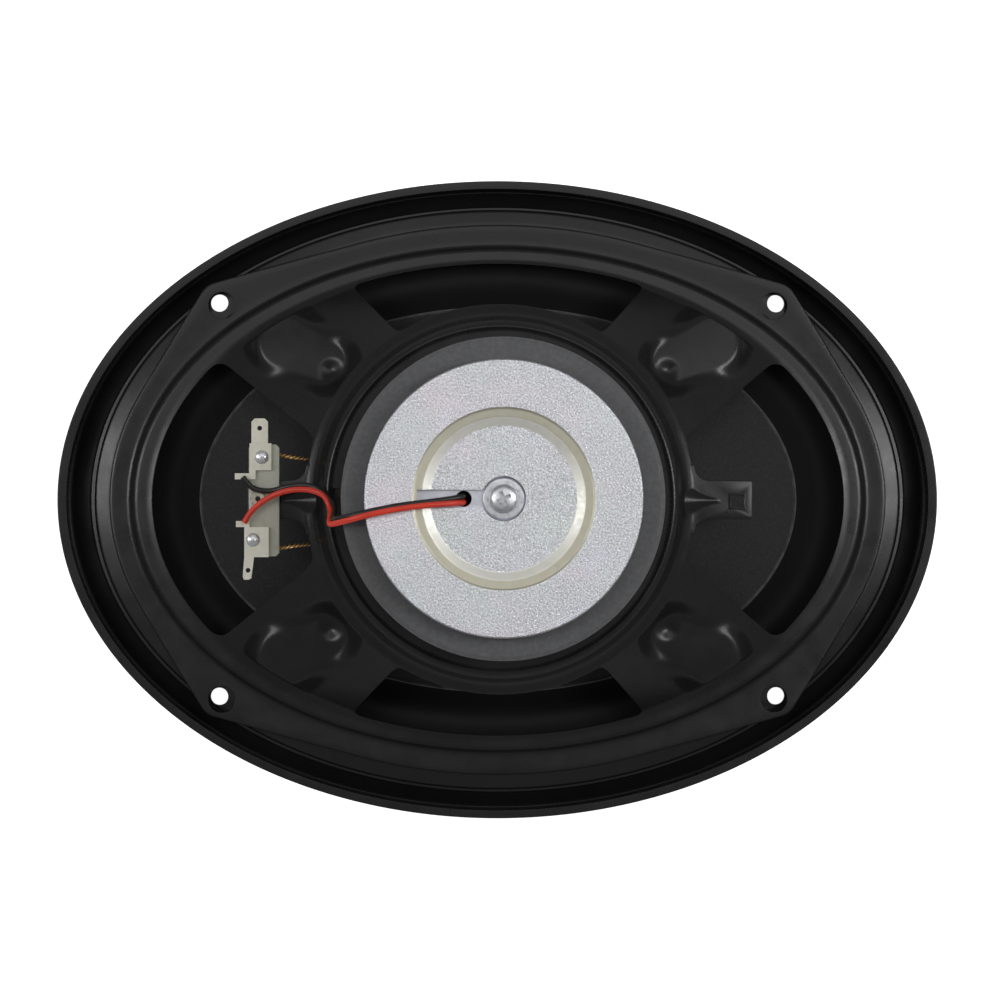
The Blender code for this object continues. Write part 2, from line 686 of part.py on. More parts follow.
def tinsel_leads():
    """Braided leads from the terminals, through the side window, down to the cone."""
    copper = material("tinsel_copper", (0.55, 0.28, 0.12), 0.45, 1.0)
    deck = BOARD_TOP + GAP + BLADE / 2
    for pole, y, sign in (("positive", 11.5, -1), ("negative", -11.2, 1)):
        stops = [(-60.3, y, deck), (-57.4, y + 0.1 * sign, deck + 0.3), (-54.6, y + 0.4 * sign, deck - 2.0)]
        stops += [(-52.8, y + 0.7 * sign, 39.5), (-48.5, y + 1.2 * sign, 35.5), (-43.0, y + 1.8 * sign, 35.2)]
        lead(f"tinsel_lead_{pole}", stops, 0.6, 2.4, copper)


def main():
    clear_scene()
    trim_ring()
    grille_mesh()
    basket()
    top_plate()
    magnet()
    yoke()
    center_screw()
    cone()
    voice_coil()
    surround()
    spider()
    tweeter_mounting()
    tweeter_motor()
    tweeter_dome()
    terminal_board()
    eyelet()
    terminals()
    tweeter_leads()
    tinsel_leads()


main()
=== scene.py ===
"""The looks of the coaxial car speaker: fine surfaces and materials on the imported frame."""

import math

import bmesh
import bpy
from mathutils import Matrix, Vector
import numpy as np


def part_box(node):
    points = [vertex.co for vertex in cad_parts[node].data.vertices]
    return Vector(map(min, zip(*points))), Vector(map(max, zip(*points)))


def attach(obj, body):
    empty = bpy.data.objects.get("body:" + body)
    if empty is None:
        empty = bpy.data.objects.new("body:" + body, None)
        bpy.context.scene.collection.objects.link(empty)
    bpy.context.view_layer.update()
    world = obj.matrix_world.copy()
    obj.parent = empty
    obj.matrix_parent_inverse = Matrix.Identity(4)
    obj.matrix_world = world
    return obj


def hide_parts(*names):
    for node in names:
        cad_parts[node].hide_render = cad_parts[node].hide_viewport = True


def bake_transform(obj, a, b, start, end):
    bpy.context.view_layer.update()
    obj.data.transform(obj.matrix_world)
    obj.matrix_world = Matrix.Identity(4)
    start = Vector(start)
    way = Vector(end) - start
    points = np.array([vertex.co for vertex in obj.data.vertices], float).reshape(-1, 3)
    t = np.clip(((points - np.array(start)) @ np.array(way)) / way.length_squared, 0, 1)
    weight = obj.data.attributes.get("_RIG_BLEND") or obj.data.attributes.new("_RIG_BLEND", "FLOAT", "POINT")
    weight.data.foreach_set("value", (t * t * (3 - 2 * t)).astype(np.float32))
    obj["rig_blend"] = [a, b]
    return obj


MM = 0.001
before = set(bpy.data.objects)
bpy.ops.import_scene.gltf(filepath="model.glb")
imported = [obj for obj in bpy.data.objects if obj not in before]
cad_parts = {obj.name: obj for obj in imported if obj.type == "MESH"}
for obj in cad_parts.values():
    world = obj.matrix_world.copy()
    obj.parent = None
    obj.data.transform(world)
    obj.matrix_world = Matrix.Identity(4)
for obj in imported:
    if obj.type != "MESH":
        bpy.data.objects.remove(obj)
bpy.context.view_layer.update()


def span(node):
    """A node's lowest and highest corners, in millimetres."""
    low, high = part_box(node)
    return Vector(low) / MM, Vector(high) / MM


# ------------------------------------------------------------------- geometry


def build(name, points, faces, look, body="frame", sharp=40):
    mesh = bpy.data.meshes.new(name)
    mesh.from_pydata([Vector(p) * MM for p in points], [], faces)
    mesh.materials.append(look)
    shape = bmesh.new()
    shape.from_mesh(mesh)
    bmesh.ops.recalc_face_normals(shape, faces=shape.faces)
    shape.to_mesh(mesh)
    shape.free()
    piece = bpy.data.objects.new(name, mesh)
    bpy.context.scene.collection.objects.link(piece)
    mesh.shade_smooth()
    mesh.set_sharp_from_angle(angle=math.radians(sharp))
    if body:
        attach(piece, body)
    return piece


def oval(half_x, half_y, z, steps):
    turns = [2 * math.pi * i / steps for i in range(steps)]
    return [Vector((half_x * math.cos(t), half_y * math.sin(t), z)) for t in turns]


def rounded(corners, cuts, arc=4, closed=True):
    """Corners of a section (any vectors), each rounded by a small curve that starts cut away from it."""
    corners = [Vector(c) for c in corners]
    count = len(corners)
    out = []
    for k, corner in enumerate(corners):
        cut = cuts[k] if isinstance(cuts, (list, tuple)) else cuts
        if not closed and k in (0, count - 1) or cut == 0:
            out.append(corner)
            continue
        before, after = corners[k - 1], corners[(k + 1) % count]
        back, ahead = before - corner, after - corner
        reach_back = min(cut, back.length * 0.45)
        reach_ahead = min(cut, ahead.length * 0.45)
        a = corner + back.normalized() * reach_back
        b = corner + ahead.normalized() * reach_ahead
        for i in range(arc + 1):
            t = i / arc
            out.append(a * (1 - t) ** 2 + corner * 2 * t * (1 - t) + b * t * t)
    return out


def flat_normals(piece):
    """Keeps the broad faces flat in the shading, beside narrow rounded edges."""
    step = piece.modifiers.new("normals", "WEIGHTED_NORMAL")
    step.weight = 100
    step.keep_sharp = True
    return piece


def strip_faces(rows, steps, wrap_rows, first=0):
    faces = []
    for k in range(rows if wrap_rows else rows - 1):
        low, high = first + k * steps, first + (k + 1) % rows * steps
        for i in range(steps):
            j = (i + 1) % steps
            faces.append((low + i, low + j, high + j, high + i))
    return faces


def band(name, section, look, steps=256, body="frame", sharp=40):
    """A closed ring from a loop of (half_x, half_y, z)."""
    points = [p for corner in section for p in oval(*corner, steps)]
    return build(name, points, strip_faces(len(section), steps, True), look, body, sharp)


def round_band(name, section, look, steps=192, body="frame", cut=0.3, sharp=40):
    """A closed ring turned about Z, from a loop of (radius, z) with its corners eased."""
    loop = rounded(section, cut)
    return band(name, [(r, r, z) for r, z in loop], look, steps, body, sharp)


def turned(name, profile, look, steps=96, centre=(0, 0), body="frame", cut=0.2, sharp=40):
    """A solid turned about an upright axis, with its corners eased."""
    loop = rounded(profile, cut, closed=False)
    x, y = centre
    points = [p + Vector((x, y, 0)) for r, z in loop for p in oval(r, r, z, steps)]
    last = (len(loop) - 1) * steps
    faces = [tuple(range(steps)), tuple(range(last, last + steps))]
    faces += strip_faces(len(loop), steps, False)
    return build(name, points, faces, look, body, sharp)


def prism(name, outline, bottom, top, look, body="frame", bevel=0.0):
    count = len(outline)
    points = [(x, y, bottom) for x, y in outline] + [(x, y, top) for x, y in outline]
    faces = [tuple(range(count)), tuple(range(count, 2 * count))]
    faces += [(i, (i + 1) % count, count + (i + 1) % count, count + i) for i in range(count)]
    piece = build(name, points, faces, look, body, 30)
    if bevel:
        edge = piece.modifiers.new("edge", "BEVEL")
        edge.width = bevel * MM
        edge.segments = 2
        edge.limit_method = "ANGLE"
        edge.harden_normals = False
    return piece


def join(name, pieces):
    """Several meshes made one object, with the first one's place and body."""
    first = pieces[0]
    shape = bmesh.new()
    looks = []
    for piece in pieces:
        mesh = piece.data
        graph = bpy.context.evaluated_depsgraph_get()
        bpy.context.view_layer.update()
        done = bpy.data.meshes.new_from_object(piece.evaluated_get(graph))
        for look in mesh.materials:
            if look not in looks:
                looks.append(look)
        remap = [looks.index(look) for look in mesh.materials]
        start = len(shape.faces)
        shape.from_mesh(done)
        shape.faces.ensure_lookup_table()
        for face in shape.faces[start:]:
            face.material_index = remap[min(face.material_index, len(remap) - 1)]
        bpy.data.meshes.remove(done)
    mesh = bpy.data.meshes.new(name)
    for look in looks:
        mesh.materials.append(look)
    shape.to_mesh(mesh)
    shape.free()
    for piece in pieces[1:]:
        bpy.data.objects.remove(piece)
    first.modifiers.clear()
    first.data = mesh
    first.name = name
    return first


def apply_modifiers(piece):
    bpy.context.view_layer.update()
    graph = bpy.context.evaluated_depsgraph_get()
    mesh = bpy.data.meshes.new_from_object(piece.evaluated_get(graph))
    piece.modifiers.clear()
    piece.data = mesh


def carve(piece, shapes, sharp=30, solver="EXACT"):
    """Cuts closed shapes out of a closed piece and removes them."""
    tool = join("cutter", shapes)
    step = piece.modifiers.new("carve", "BOOLEAN")
    step.operation = "DIFFERENCE"
    step.solver = solver
    step.object = tool
    apply_modifiers(piece)
    bpy.data.objects.remove(tool)
    piece.data.shade_smooth()
    piece.data.set_sharp_from_angle(angle=math.radians(sharp))
    return piece


def smooth_route(stops, spacing):
    stops = [Vector(p) for p in stops]
    ends = [2 * stops[0] - stops[1], *stops, 2 * stops[-1] - stops[-2]]
    route = []
    for a, b, c, d in zip(ends, ends[1:], ends[2:], ends[3:]):
        parts = max(1, round((c - b).length / spacing))
        for k in range(parts):
            t = k / parts
            bend = (2 * a - 5 * b + 4 * c - d) * t * t + (3 * b - a - 3 * c + d) * t ** 3
            route.append((2 * b + (c - a) * t + bend) / 2)
    return route + [stops[-1]]


def cord(name, lines, radius, look, sides=3):
    """Round strands of this radius along each line, as one curve."""
    line = bpy.data.curves.new(name, "CURVE")
    line.dimensions = "3D"
    line.bevel_depth = radius * MM
    line.bevel_resolution = sides
    line.use_fill_caps = True
    line.materials.append(look)
    for route in lines:
        spline = line.splines.new("POLY")
        spline.points.add(len(route) - 1)
        for point, place in zip(spline.points, route):
            point.co = (*(place * MM), 1.0)
        spline.use_smooth = True
    piece = bpy.data.objects.new(name, line)
    bpy.context.scene.collection.objects.link(piece)
    return piece


def tube(name, stops, radius, look, body="frame", spacing=0.7, sides=3):
    piece = cord(name, [smooth_route(stops, spacing)], radius, look, sides)
    if body:
        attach(piece, body)
    return piece


def smooth(x):
    x = min(max(x, 0.0), 1.0)
    return x * x * (3 - 2 * x)


# ------------------------------------------------------------------ materials


class Look:
    """A Principled material built up from procedural layers, all in object space."""

    def __init__(self, name, colour, roughness, metallic=0.0, **settings):
        self.material = bpy.data.materials.new(name)
        self.material.use_nodes = True
        self.tree = self.material.node_tree
        self.shader = self.tree.nodes["Principled BSDF"]
        self.put("Roughness", roughness)
        self.put("Metallic", metallic)
        for socket, value in settings.items():
            self.put(socket.replace("_", " "), value)
        self.colour = colour
        self.shader.inputs["Base Color"].default_value = (*colour, 1.0)
        self.bump = None

    def put(self, socket, value):
        self.shader.inputs[socket].default_value = value

    def node(self, kind, **inputs):
        made = self.tree.nodes.new(kind)
        for key, value in inputs.items():
            made.inputs[key.replace("_", " ")].default_value = value
        return made

    def link(self, out, into):
        self.tree.links.new(out, into)

    def place(self, stretch=(1, 1, 1)):
        coordinates = self.tree.nodes.new("ShaderNodeTexCoord")
        mapping = self.tree.nodes.new("ShaderNodeMapping")
        mapping.inputs["Scale"].default_value = stretch
        self.link(coordinates.outputs["Object"], mapping.inputs["Vector"])
        return mapping.outputs["Vector"]

    def noise(self, size, detail=3.0, rough=0.55, stretch=(1, 1, 1)):
        """Noise whose blotches are about this many millimetres across, from 0 to 1."""
        texture = self.node("ShaderNodeTexNoise", Scale=1 / (size * MM), Detail=detail, Roughness=rough)
        self.link(self.place(stretch), texture.inputs["Vector"])
        return texture.outputs["Fac"]

    def soft_edges(self, radius):
        """Rounds every edge this many millimetres in the shading, under all the bumps."""
        bevel = self.node("ShaderNodeBevel", Radius=radius * MM)
        bevel.samples = 3
        self.bump = bevel.outputs["Normal"]
        self.link(self.bump, self.shader.inputs["Normal"])
        return self

    def cells(self, size, feature="F1"):
        texture = self.node("ShaderNodeTexVoronoi", Scale=1 / (size * MM))
        texture.feature = feature
        self.link(self.place(), texture.inputs["Vector"])
        return texture.outputs["Distance"]

    def remap(self, value, low, high, to_low=0.0, to_high=1.0):
        made = self.tree.nodes.new("ShaderNodeMapRange")
        made.inputs["From Min"].default_value = low
        made.inputs["From Max"].default_value = high
        made.inputs["To Min"].default_value = to_low
        made.inputs["To Max"].default_value = to_high
        self.link(value, made.inputs["Value"])
        return made.outputs["Result"]

    def paint(self, share, colour):
        """Mixes a colour over the present one, where share is 1."""
        mix = self.tree.nodes.new("ShaderNodeMix")
        mix.data_type = "RGBA"
        into = self.shader.inputs["Base Color"]
        if into.links:
            self.link(into.links[0].from_socket, mix.inputs["A"])
        else:
            mix.inputs["A"].default_value = (*self.colour, 1.0)
        mix.inputs["B"].default_value = (*colour, 1.0)
        self.link(share, mix.inputs["Factor"])
        self.link(mix.outputs["Result"], into)
        return self

    def fleck(self, noise, low, high, most, colour):
        """Paints a colour where the noise passes from low to high, up to this share."""
        return self.paint(self.remap(noise, low, high, 0.0, most), colour)

    def vary_roughness(self, noise, smoothest, roughest):
        """Follows noise, which lies mostly between 0.3 and 0.7."""
        self.link(self.remap(noise, 0.3, 0.7, smoothest, roughest), self.shader.inputs["Roughness"])
        return self

    def relief(self, height, depth, strength=1.0):
        """Adds bump of about this depth in millimetres."""
        bump = self.tree.nodes.new("ShaderNodeBump")
        bump.inputs["Distance"].default_value = depth * MM
        bump.inputs["Strength"].default_value = strength
        self.link(height, bump.inputs["Height"])
        if self.bump:
            self.link(self.bump, bump.inputs["Normal"])
        self.bump = bump.outputs["Normal"]
        self.link(self.bump, self.shader.inputs["Normal"])
        return self


def basket_paint():
    look = Look("basket_black_paint", (0.0075, 0.0075, 0.0080), 0.30)
    look.fleck(look.noise(18, 4), 0.35, 0.75, 0.6, (0.012, 0.0115, 0.011))
    look.fleck(look.noise(0.5, 2), 0.64, 0.74, 0.25, (0.035, 0.035, 0.034))
    look.vary_roughness(look.noise(7, 4), 0.24, 0.36)
    look.soft_edges(0.3)
    look.relief(look.noise(0.9, 2), 0.012)
    look.relief(look.noise(9, 3), 0.06, 0.5)
    return look.material


def trim_plastic():
    look = Look("trim_black_plastic", (0.0070, 0.0070, 0.0076), 0.30)
    look.fleck(look.noise(25, 3), 0.4, 0.75, 0.5, (0.011, 0.0105, 0.010))
    look.vary_roughness(look.noise(12, 4), 0.22, 0.34)
    look.relief(look.noise(0.35, 2), 0.006)
    return look.material


def zinc():
    """Zinc-plated steel: a cool sparkling grain with faint lavender, rose and green tints."""
    look = Look("zinc_passivated", (0.47, 0.47, 0.50), 0.34, 1.0)
    look.fleck(look.noise(0.50, 3, 0.8), 0.40, 0.64, 1.0, (0.93, 0.94, 0.97))
    look.fleck(look.noise(15, 3), 0.48, 0.70, 0.30, (0.70, 0.82, 0.74))
    look.fleck(look.noise(21, 2, stretch=(1, 1.4, 1)), 0.50, 0.72, 0.32, (0.86, 0.72, 0.84))
    look.fleck(look.noise(11, 3, stretch=(1.3, 1, 1)), 0.52, 0.72, 0.22, (0.74, 0.76, 0.92))
    look.vary_roughness(look.noise(0.45, 3), 0.24, 0.50)
    look.relief(look.noise(0.52, 3, 0.75), 0.16)
    return look.material


def coined_zinc(name, colour, roughness, metallic=1.0):
    """Zinc where the coining die has pressed it smooth."""
    look = Look(name, colour, roughness, metallic)
    look.fleck(look.noise(2.2, 4), 0.40, 0.70, 0.35, tuple(c * 0.86 for c in colour))
    look.vary_roughness(look.noise(1.0, 3), roughness * 0.85, roughness * 1.3)
    look.relief(look.noise(0.6, 3), 0.012)
    return look.material


def ivory_tin():
    """Dull tinned brass, nearly ivory, with a little lacquer on it."""
    look = Look("tinned_terminal", (0.80, 0.78, 0.66), 0.38, 0.35)
    look.fleck(look.noise(1.6, 4), 0.45, 0.72, 0.5, (0.66, 0.63, 0.50))
    look.fleck(look.noise(3.5, 3), 0.50, 0.72, 0.4, (0.90, 0.90, 0.84))
    look.vary_roughness(look.noise(1.2, 3), 0.28, 0.46)
    look.relief(look.noise(0.5, 3), 0.012)
    return look.material


def solder():
    look = Look("solder_joint", (0.80, 0.81, 0.82), 0.22, 0.7)
    look.fleck(look.noise(0.9, 3), 0.45, 0.70, 0.6, (0.62, 0.63, 0.66))
    look.vary_roughness(look.noise(0.7, 3), 0.12, 0.34)
    look.relief(look.noise(0.8, 3), 0.06)
    return look.material


def flux():
    look = Look("amber_flux", (0.55, 0.42, 0.14), 0.12, 0.0, Coat_Weight=0.6)
    look.fleck(look.noise(1.1, 4), 0.42, 0.68, 0.8, (0.30, 0.19, 0.05))
    look.fleck(look.noise(0.8, 3), 0.55, 0.72, 0.7, (0.78, 0.74, 0.52))
    look.relief(look.noise(0.9, 3), 0.05)
    return look.material


def ferrite():
    look = Look("ferrite_grey", (0.085, 0.086, 0.090), 0.50)
    look.fleck(look.noise(1.1, 4), 0.40, 0.70, 0.7, (0.125, 0.125, 0.130))
    look.fleck(look.noise(22, 3), 0.5, 0.75, 0.4, (0.060, 0.060, 0.062))
    look.vary_roughness(look.noise(2.5, 4), 0.42, 0.62)
    look.relief(look.noise(0.6, 3), 0.03)
    return look.material


def plated(name, colour, roughness=0.28):
    look = Look(name, colour, roughness, 1.0)
    darker = tuple(c * 0.72 for c in colour)
    look.fleck(look.noise(1.2, 4), 0.42, 0.70, 0.8, darker)
    look.vary_roughness(look.noise(0.8, 3), roughness * 0.8, roughness * 1.5)
    look.relief(look.noise(0.5, 3), 0.015)
    return look.material


def paper_black():
    look = Look("cone_black_paper", (0.012, 0.012, 0.013), 0.78)
    look.fleck(look.noise(0.8, 5, 0.7), 0.45, 0.70, 0.6, (0.030, 0.030, 0.031))
    look.relief(look.noise(0.7, 4, 0.7), 0.10)
    look.relief(look.cells(1.4), 0.04)
    return look.material


def rubber_black():
    look = Look("surround_black_rubber", (0.0045, 0.0045, 0.0045), 0.72, 0.0, Specular_IOR_Level=0.3)
    look.fleck(look.noise(9, 4), 0.45, 0.75, 0.5, (0.008, 0.008, 0.008))
    look.relief(look.noise(0.4, 2), 0.02)
    return look.material


def insulation(name, colour, lighter):
    look = Look(name, colour, 0.36)
    look.fleck(look.noise(6, 3), 0.4, 0.7, 0.6, lighter)
    look.vary_roughness(look.noise(2, 3), 0.28, 0.46)
    look.relief(look.noise(0.4, 2), 0.01)
    return look.material


def laminate():
    look = Look("board_pale_laminate", (0.50, 0.51, 0.42), 0.40)
    look.put("Subsurface Weight", 0.25)
    look.put("Subsurface Radius", (0.002, 0.002, 0.0015))
    fibres = look.noise(0.5, 4, 0.7, (1, 0.15, 1))
    look.fleck(fibres, 0.40, 0.70, 0.6, (0.56, 0.57, 0.48))
    look.fleck(look.noise(5, 3), 0.52, 0.72, 0.4, (0.30, 0.30, 0.22))
    look.relief(fibres, 0.02)
    return look.material


def braid():
    look = Look("tinsel_braid", (0.66, 0.38, 0.14), 0.36, 1.0)
    strands = look.noise(0.28, 2, 0.6, (1, 0.35, 1))
    look.fleck(strands, 0.42, 0.62, 1.0, (0.92, 0.66, 0.34))
    look.relief(strands, 0.08)
    return look.material


# --------------------------------------------------------------------- basket

HOLES = [(sx * 76.2, sy * 53.8) for sx in (-1, 1) for sy in (-1, 1)]
FLANGE = (106.2, 75.2)
EAR_RADIUS = 5.7
FOOT_RADIUS = 52.0
FOOT_TOP = 41.8
WINDOW_EDGE = (94.4, 64.4)
WINDOW_TOP = 16.2
FLANGE_TOP = 14.0
SHELF_TOP = 50.0
NECK_TOP = 60.0
ARM_FOOT = (18.7, 58.3)
ARM_RIM = (36.4, 64.9)
BOSS_OUTER = (57.9, 42.7, 9.2)
BOSS_INNER = (46.9, 37.0, 7.8)
BOSS_TOP = 31.0
BOSS_PIT = (45.2, 34.6)
TAB_HOLES = {-1: (-64.6, 0.1), 1: (63.3, -0.5)}


def hull_radius(angle):
    """How far the flange outline is from the centre: the ellipse and four ears in one tight belt."""
    best = 1e9
    for k in range(-75, 76, 1):
        normal = angle + math.radians(k)
        nx, ny = math.cos(normal), math.sin(normal)
        reach = math.hypot(FLANGE[0] * nx, FLANGE[1] * ny)
        for x, y in HOLES:
            reach = max(reach, x * nx + y * ny + EAR_RADIUS)
        best = min(best, reach / math.cos(angle - normal))
    return best


def flange_edge(turn, inset, drop):
    """A point near the flange's outline, this far in from it and below the flange's face."""
    angle = math.atan2(WINDOW_EDGE[1] * math.sin(turn), WINDOW_EDGE[0] * math.cos(turn))
    radius = hull_radius(angle) - inset
    return Vector((radius * math.cos(angle), radius * math.sin(angle), FLANGE_TOP - drop))


def quarter_turns(side, arm, end):
    """(foot angle, rim angle) in degrees across one quarter, with an arm in the middle."""
    stops = [(0.0, 0.0), (ARM_FOOT[0], ARM_RIM[0]), (ARM_FOOT[1], ARM_RIM[1]), (90.0, 90.0)]
    turns = []
    for (foot_a, rim_a), (foot_b, rim_b), parts in zip(stops, stops[1:], (side, arm, end)):
        for i in range(parts):
            f = i / parts
            turns.append((foot_a + (foot_b - foot_a) * f, rim_a + (rim_b - rim_a) * f))
    return turns


def basket_turns(side=9, arm=64, end=10):
    quarter = quarter_turns(side, arm, end)
    closing = quarter + [(90.0, 90.0)]
    turns = []
    for part in range(4):
        for i in range(len(quarter)):
            foot, rim = closing[i] if part % 2 == 0 else (90 - v for v in closing[len(quarter) - i])
            turns.append((math.radians(90 * part + foot), math.radians(90 * part + rim)))
    return turns


def boss_depth(x, y):
    ax, ay, ar = BOSS_OUTER
    bx, by, br = BOSS_INNER
    along = ((x - bx) * (ax - bx) + (y - by) * (ay - by)) / ((ax - bx) ** 2 + (ay - by) ** 2)
    along = min(max(along, 0.0), 1.0)
    cx, cy = bx + (ax - bx) * along, by + (ay - by) * along
    return br + (ar - br) * along - math.hypot(x - cx, y - cy)


def with_boss(point):
    x, y, z = point
    share = smooth((boss_depth(abs(x), abs(y)) + 2.8) / 5.4)
    level = BOSS_TOP - 1.6 + 0.30 * (z - BOSS_TOP)
    pit_x, pit_y = BOSS_PIT
    pit = smooth(1 - math.hypot(abs(x) - pit_x, abs(y) - pit_y) / 4.0)
    return Vector((x, y, z + (level - z) * share - 1.3 * pit))


def basket_column(foot, rim):
    """One column of the sheet, from the coil's hole out to the flange's edge, with eased folds."""
    inner = [(18.5, NECK_TOP), (29.4, NECK_TOP), (31.2, SHELF_TOP), (45.0, SHELF_TOP)]
    inner += [(46.1, SHELF_TOP + 0.5), (47.6, SHELF_TOP - 1.2)]
    inner += [(49.2, FOOT_TOP + 1.5), (FOOT_RADIUS, FOOT_TOP)]
    cuts = [0, 1.6, 1.4, 0.5, 0.7, 1.4, 2.6, 0.5]
    corners = [Vector((r * math.cos(foot), r * math.sin(foot), z)) for r, z in inner]
    for half_x, half_y, z in [(*WINDOW_EDGE, WINDOW_TOP), (99.1, 68.1, 16.1), (100.9, 69.4, FLANGE_TOP)]:
        corners.append(Vector((half_x * math.cos(rim), half_y * math.sin(rim), z)))
    corners.append(flange_edge(rim, 0.7, 0.0))
    cuts += [2.2, 0.8, 0.7, 0]
    return rounded(corners, cuts, arc=4, closed=False)


# The first corner gives one point and the next seven give five each; then comes the arm's long run.
ARM_RUN = 1 + 5 * 7
ARM_STEPS = 76


def basket_rows(turns):
    columns = []
    for foot, rim in turns:
        path = basket_column(foot, rim)
        start, end = path[ARM_RUN - 1], path[ARM_RUN]
        run = [with_boss(start + (end - start) * (k / ARM_STEPS)) for k in range(1, ARM_STEPS)]
        flange = [path[-2] + (path[-1] - path[-2]) * f for f in (0.25, 0.5, 0.75, 1.0)]
        edge = [flange_edge(rim, 0.35, 0.05), flange_edge(rim, 0.12, 0.18), flange_edge(rim, 0.0, 0.42)]
        columns.append(path[:ARM_RUN] + run + path[ARM_RUN:-1] + flange + edge)
    return columns


def mirrored(outline, flip_x, flip_y):
    points = [(-x if flip_x else x, -y if flip_y else y) for x, y in outline]
    return points[::-1] if flip_x != flip_y else points


def side_window():
    """The right window's outline: the foot arc, two straight arm edges and the rim arc."""
    foot = FOOT_RADIUS + 0.2
    points = []
    for k in range(13):
        t = math.radians(-ARM_FOOT[0] + 2 * ARM_FOOT[0] * k / 12)
        points.append((foot * math.cos(t), foot * math.sin(t)))
    for k in range(41):
        t = math.radians(ARM_RIM[0] - 2 * ARM_RIM[0] * k / 40)
        points.append((WINDOW_EDGE[0] * math.cos(t), WINDOW_EDGE[1] * math.sin(t)))
    return eased(points, (0, 12, 13, 53), 3.6)


def end_window():
    foot = FOOT_RADIUS + 0.2
    points = []
    for k in range(17):
        t = math.radians(ARM_FOOT[1] + 2 * (90 - ARM_FOOT[1]) * k / 16)
        points.append((foot * math.cos(t), foot * math.sin(t)))
    for k in range(33):
        t = math.radians(180 - ARM_RIM[1] - 2 * (90 - ARM_RIM[1]) * k / 32)
        points.append((WINDOW_EDGE[0] * math.cos(t), WINDOW_EDGE[1] * math.sin(t)))
    return eased(points, (0, 16, 17, 49), 2.6)


def eased(points, corners, cut):
    """An outline with small curves in place of the named corners."""
    out = []
    count = len(points)
    for k, point in enumerate(points):
        if k not in corners:
            near = min(math.dist(point, points[c]) for c in corners)
            if near > cut:
                out.append(point)
            continue
        corner = Vector(point)
        a = Vector(points[k - 1]) - corner
        b = Vector(points[(k + 1) % count]) - corner
        a = corner + a.normalized() * cut
        b = corner + b.normalized() * cut
        for i in range(7):
            t = i / 6
            out.append(tuple(a * (1 - t) ** 2 + corner * 2 * t * (1 - t) + b * t * t))
    return out


def circle(x, y, radius, steps=40):
    turns = [2 * math.pi * i / steps for i in range(steps)]
    return [(x + radius * math.cos(t), y + radius * math.sin(t)) for t in turns]


def box_outline(left, right, front, back):
    return [(left, front), (right, front), (right, back), (left, back)]


def tab_outline(side):
    """The tab from its flared root on the ring to its square end."""
    root, tip, flare = 50.6, 67.4, 4.2
    points = []
    for sign, edge in ((-1, -5.3), (1, 5.1)):
        fillet = []
        for i in range(9):
            turn = math.radians(90 * i / 8)
            x = root + 1.2 + flare * (1 - math.sin(turn))
            y = edge + sign * flare * (1 - math.cos(turn))
            fillet.append((x, y))
        side_points = [(root, edge + sign * flare)] + fillet[::-1]
        side_points += [(tip - 0.4, edge), (tip, edge - 0.4 * sign)]
        points.append(side_points)
    outline = points[0] + points[1][::-1]
    return [(side * x, y) for x, y in outline]


def tab_rib(name, side, look):
    """The raised rib that runs out of the ring and narrows along the tab."""
    low, high, base = 47.7, 58.8, 41.97
    steps, across = 24, 15
    points, faces = [], []
    for k in range(steps + 1):
        f = k / steps
        half = 6.4 * (1 - f) ** 1.9 + 0.9
        rise = 0.02 + 2.3 * (1 - f) ** 2 + 0.6 * (1 - f**5)
        for i in range(across):
            u = 2 * i / (across - 1) - 1
            points.append((side * (low + (high - low) * f), half * u - 0.3, base + rise * (1 - u * u) ** 2))
    for k in range(steps):
        for i in range(across - 1):
            a = k * across + i
            faces.append((a, a + 1, a + across + 1, a + across))
    return build(name, points, faces, look, None, 80)


def square_rim(name, x, y, look):
    """The burr raised round the square hole."""
    points, faces = [], []
    section = ((0.03, 42.0), (0.08, 42.2), (0.3, 42.28), (0.5, 42.2), (0.62, 41.98))
    for out, z in section:
        for sx, sy in ((-1, -1), (1, -1), (1, 1), (-1, 1)):
            points.append((x + sx * (1.6 + out), y + sy * (1.55 + out), z))
    for k in range(len(section) - 1):
        for i in range(4):
            j = (i + 1) % 4
            faces.append((k * 4 + i, k * 4 + j, k * 4 + 4 + j, k * 4 + 4 + i))
    return build(name, points, faces, look, None, 80)


def tab(side, look):
    """The tab over a side window, with its rib, and on the right tab the raised frame round its square hole.
    """
    x, y = TAB_HOLES[side]
    tag = "right" if side > 0 else "left"
    plate = prism(f"tab_{tag}", tab_outline(side), 41.0, 42.0, look, None)
    hole = box_outline(x - 1.6, x + 1.6, y - 1.55, y + 1.55)
    carve(plate, [prism("c", hole, 40, 43, look, None)])
    edge = plate.modifiers.new("edge", "BEVEL")
    edge.width = 0.25 * MM
    edge.segments = 3
    edge.limit_method = "ANGLE"
    parts = [plate, tab_rib(f"rib_{tag}", side, look)]
    if side > 0:
        parts.append(square_rim("rim_right", x, y, look))
    return parts


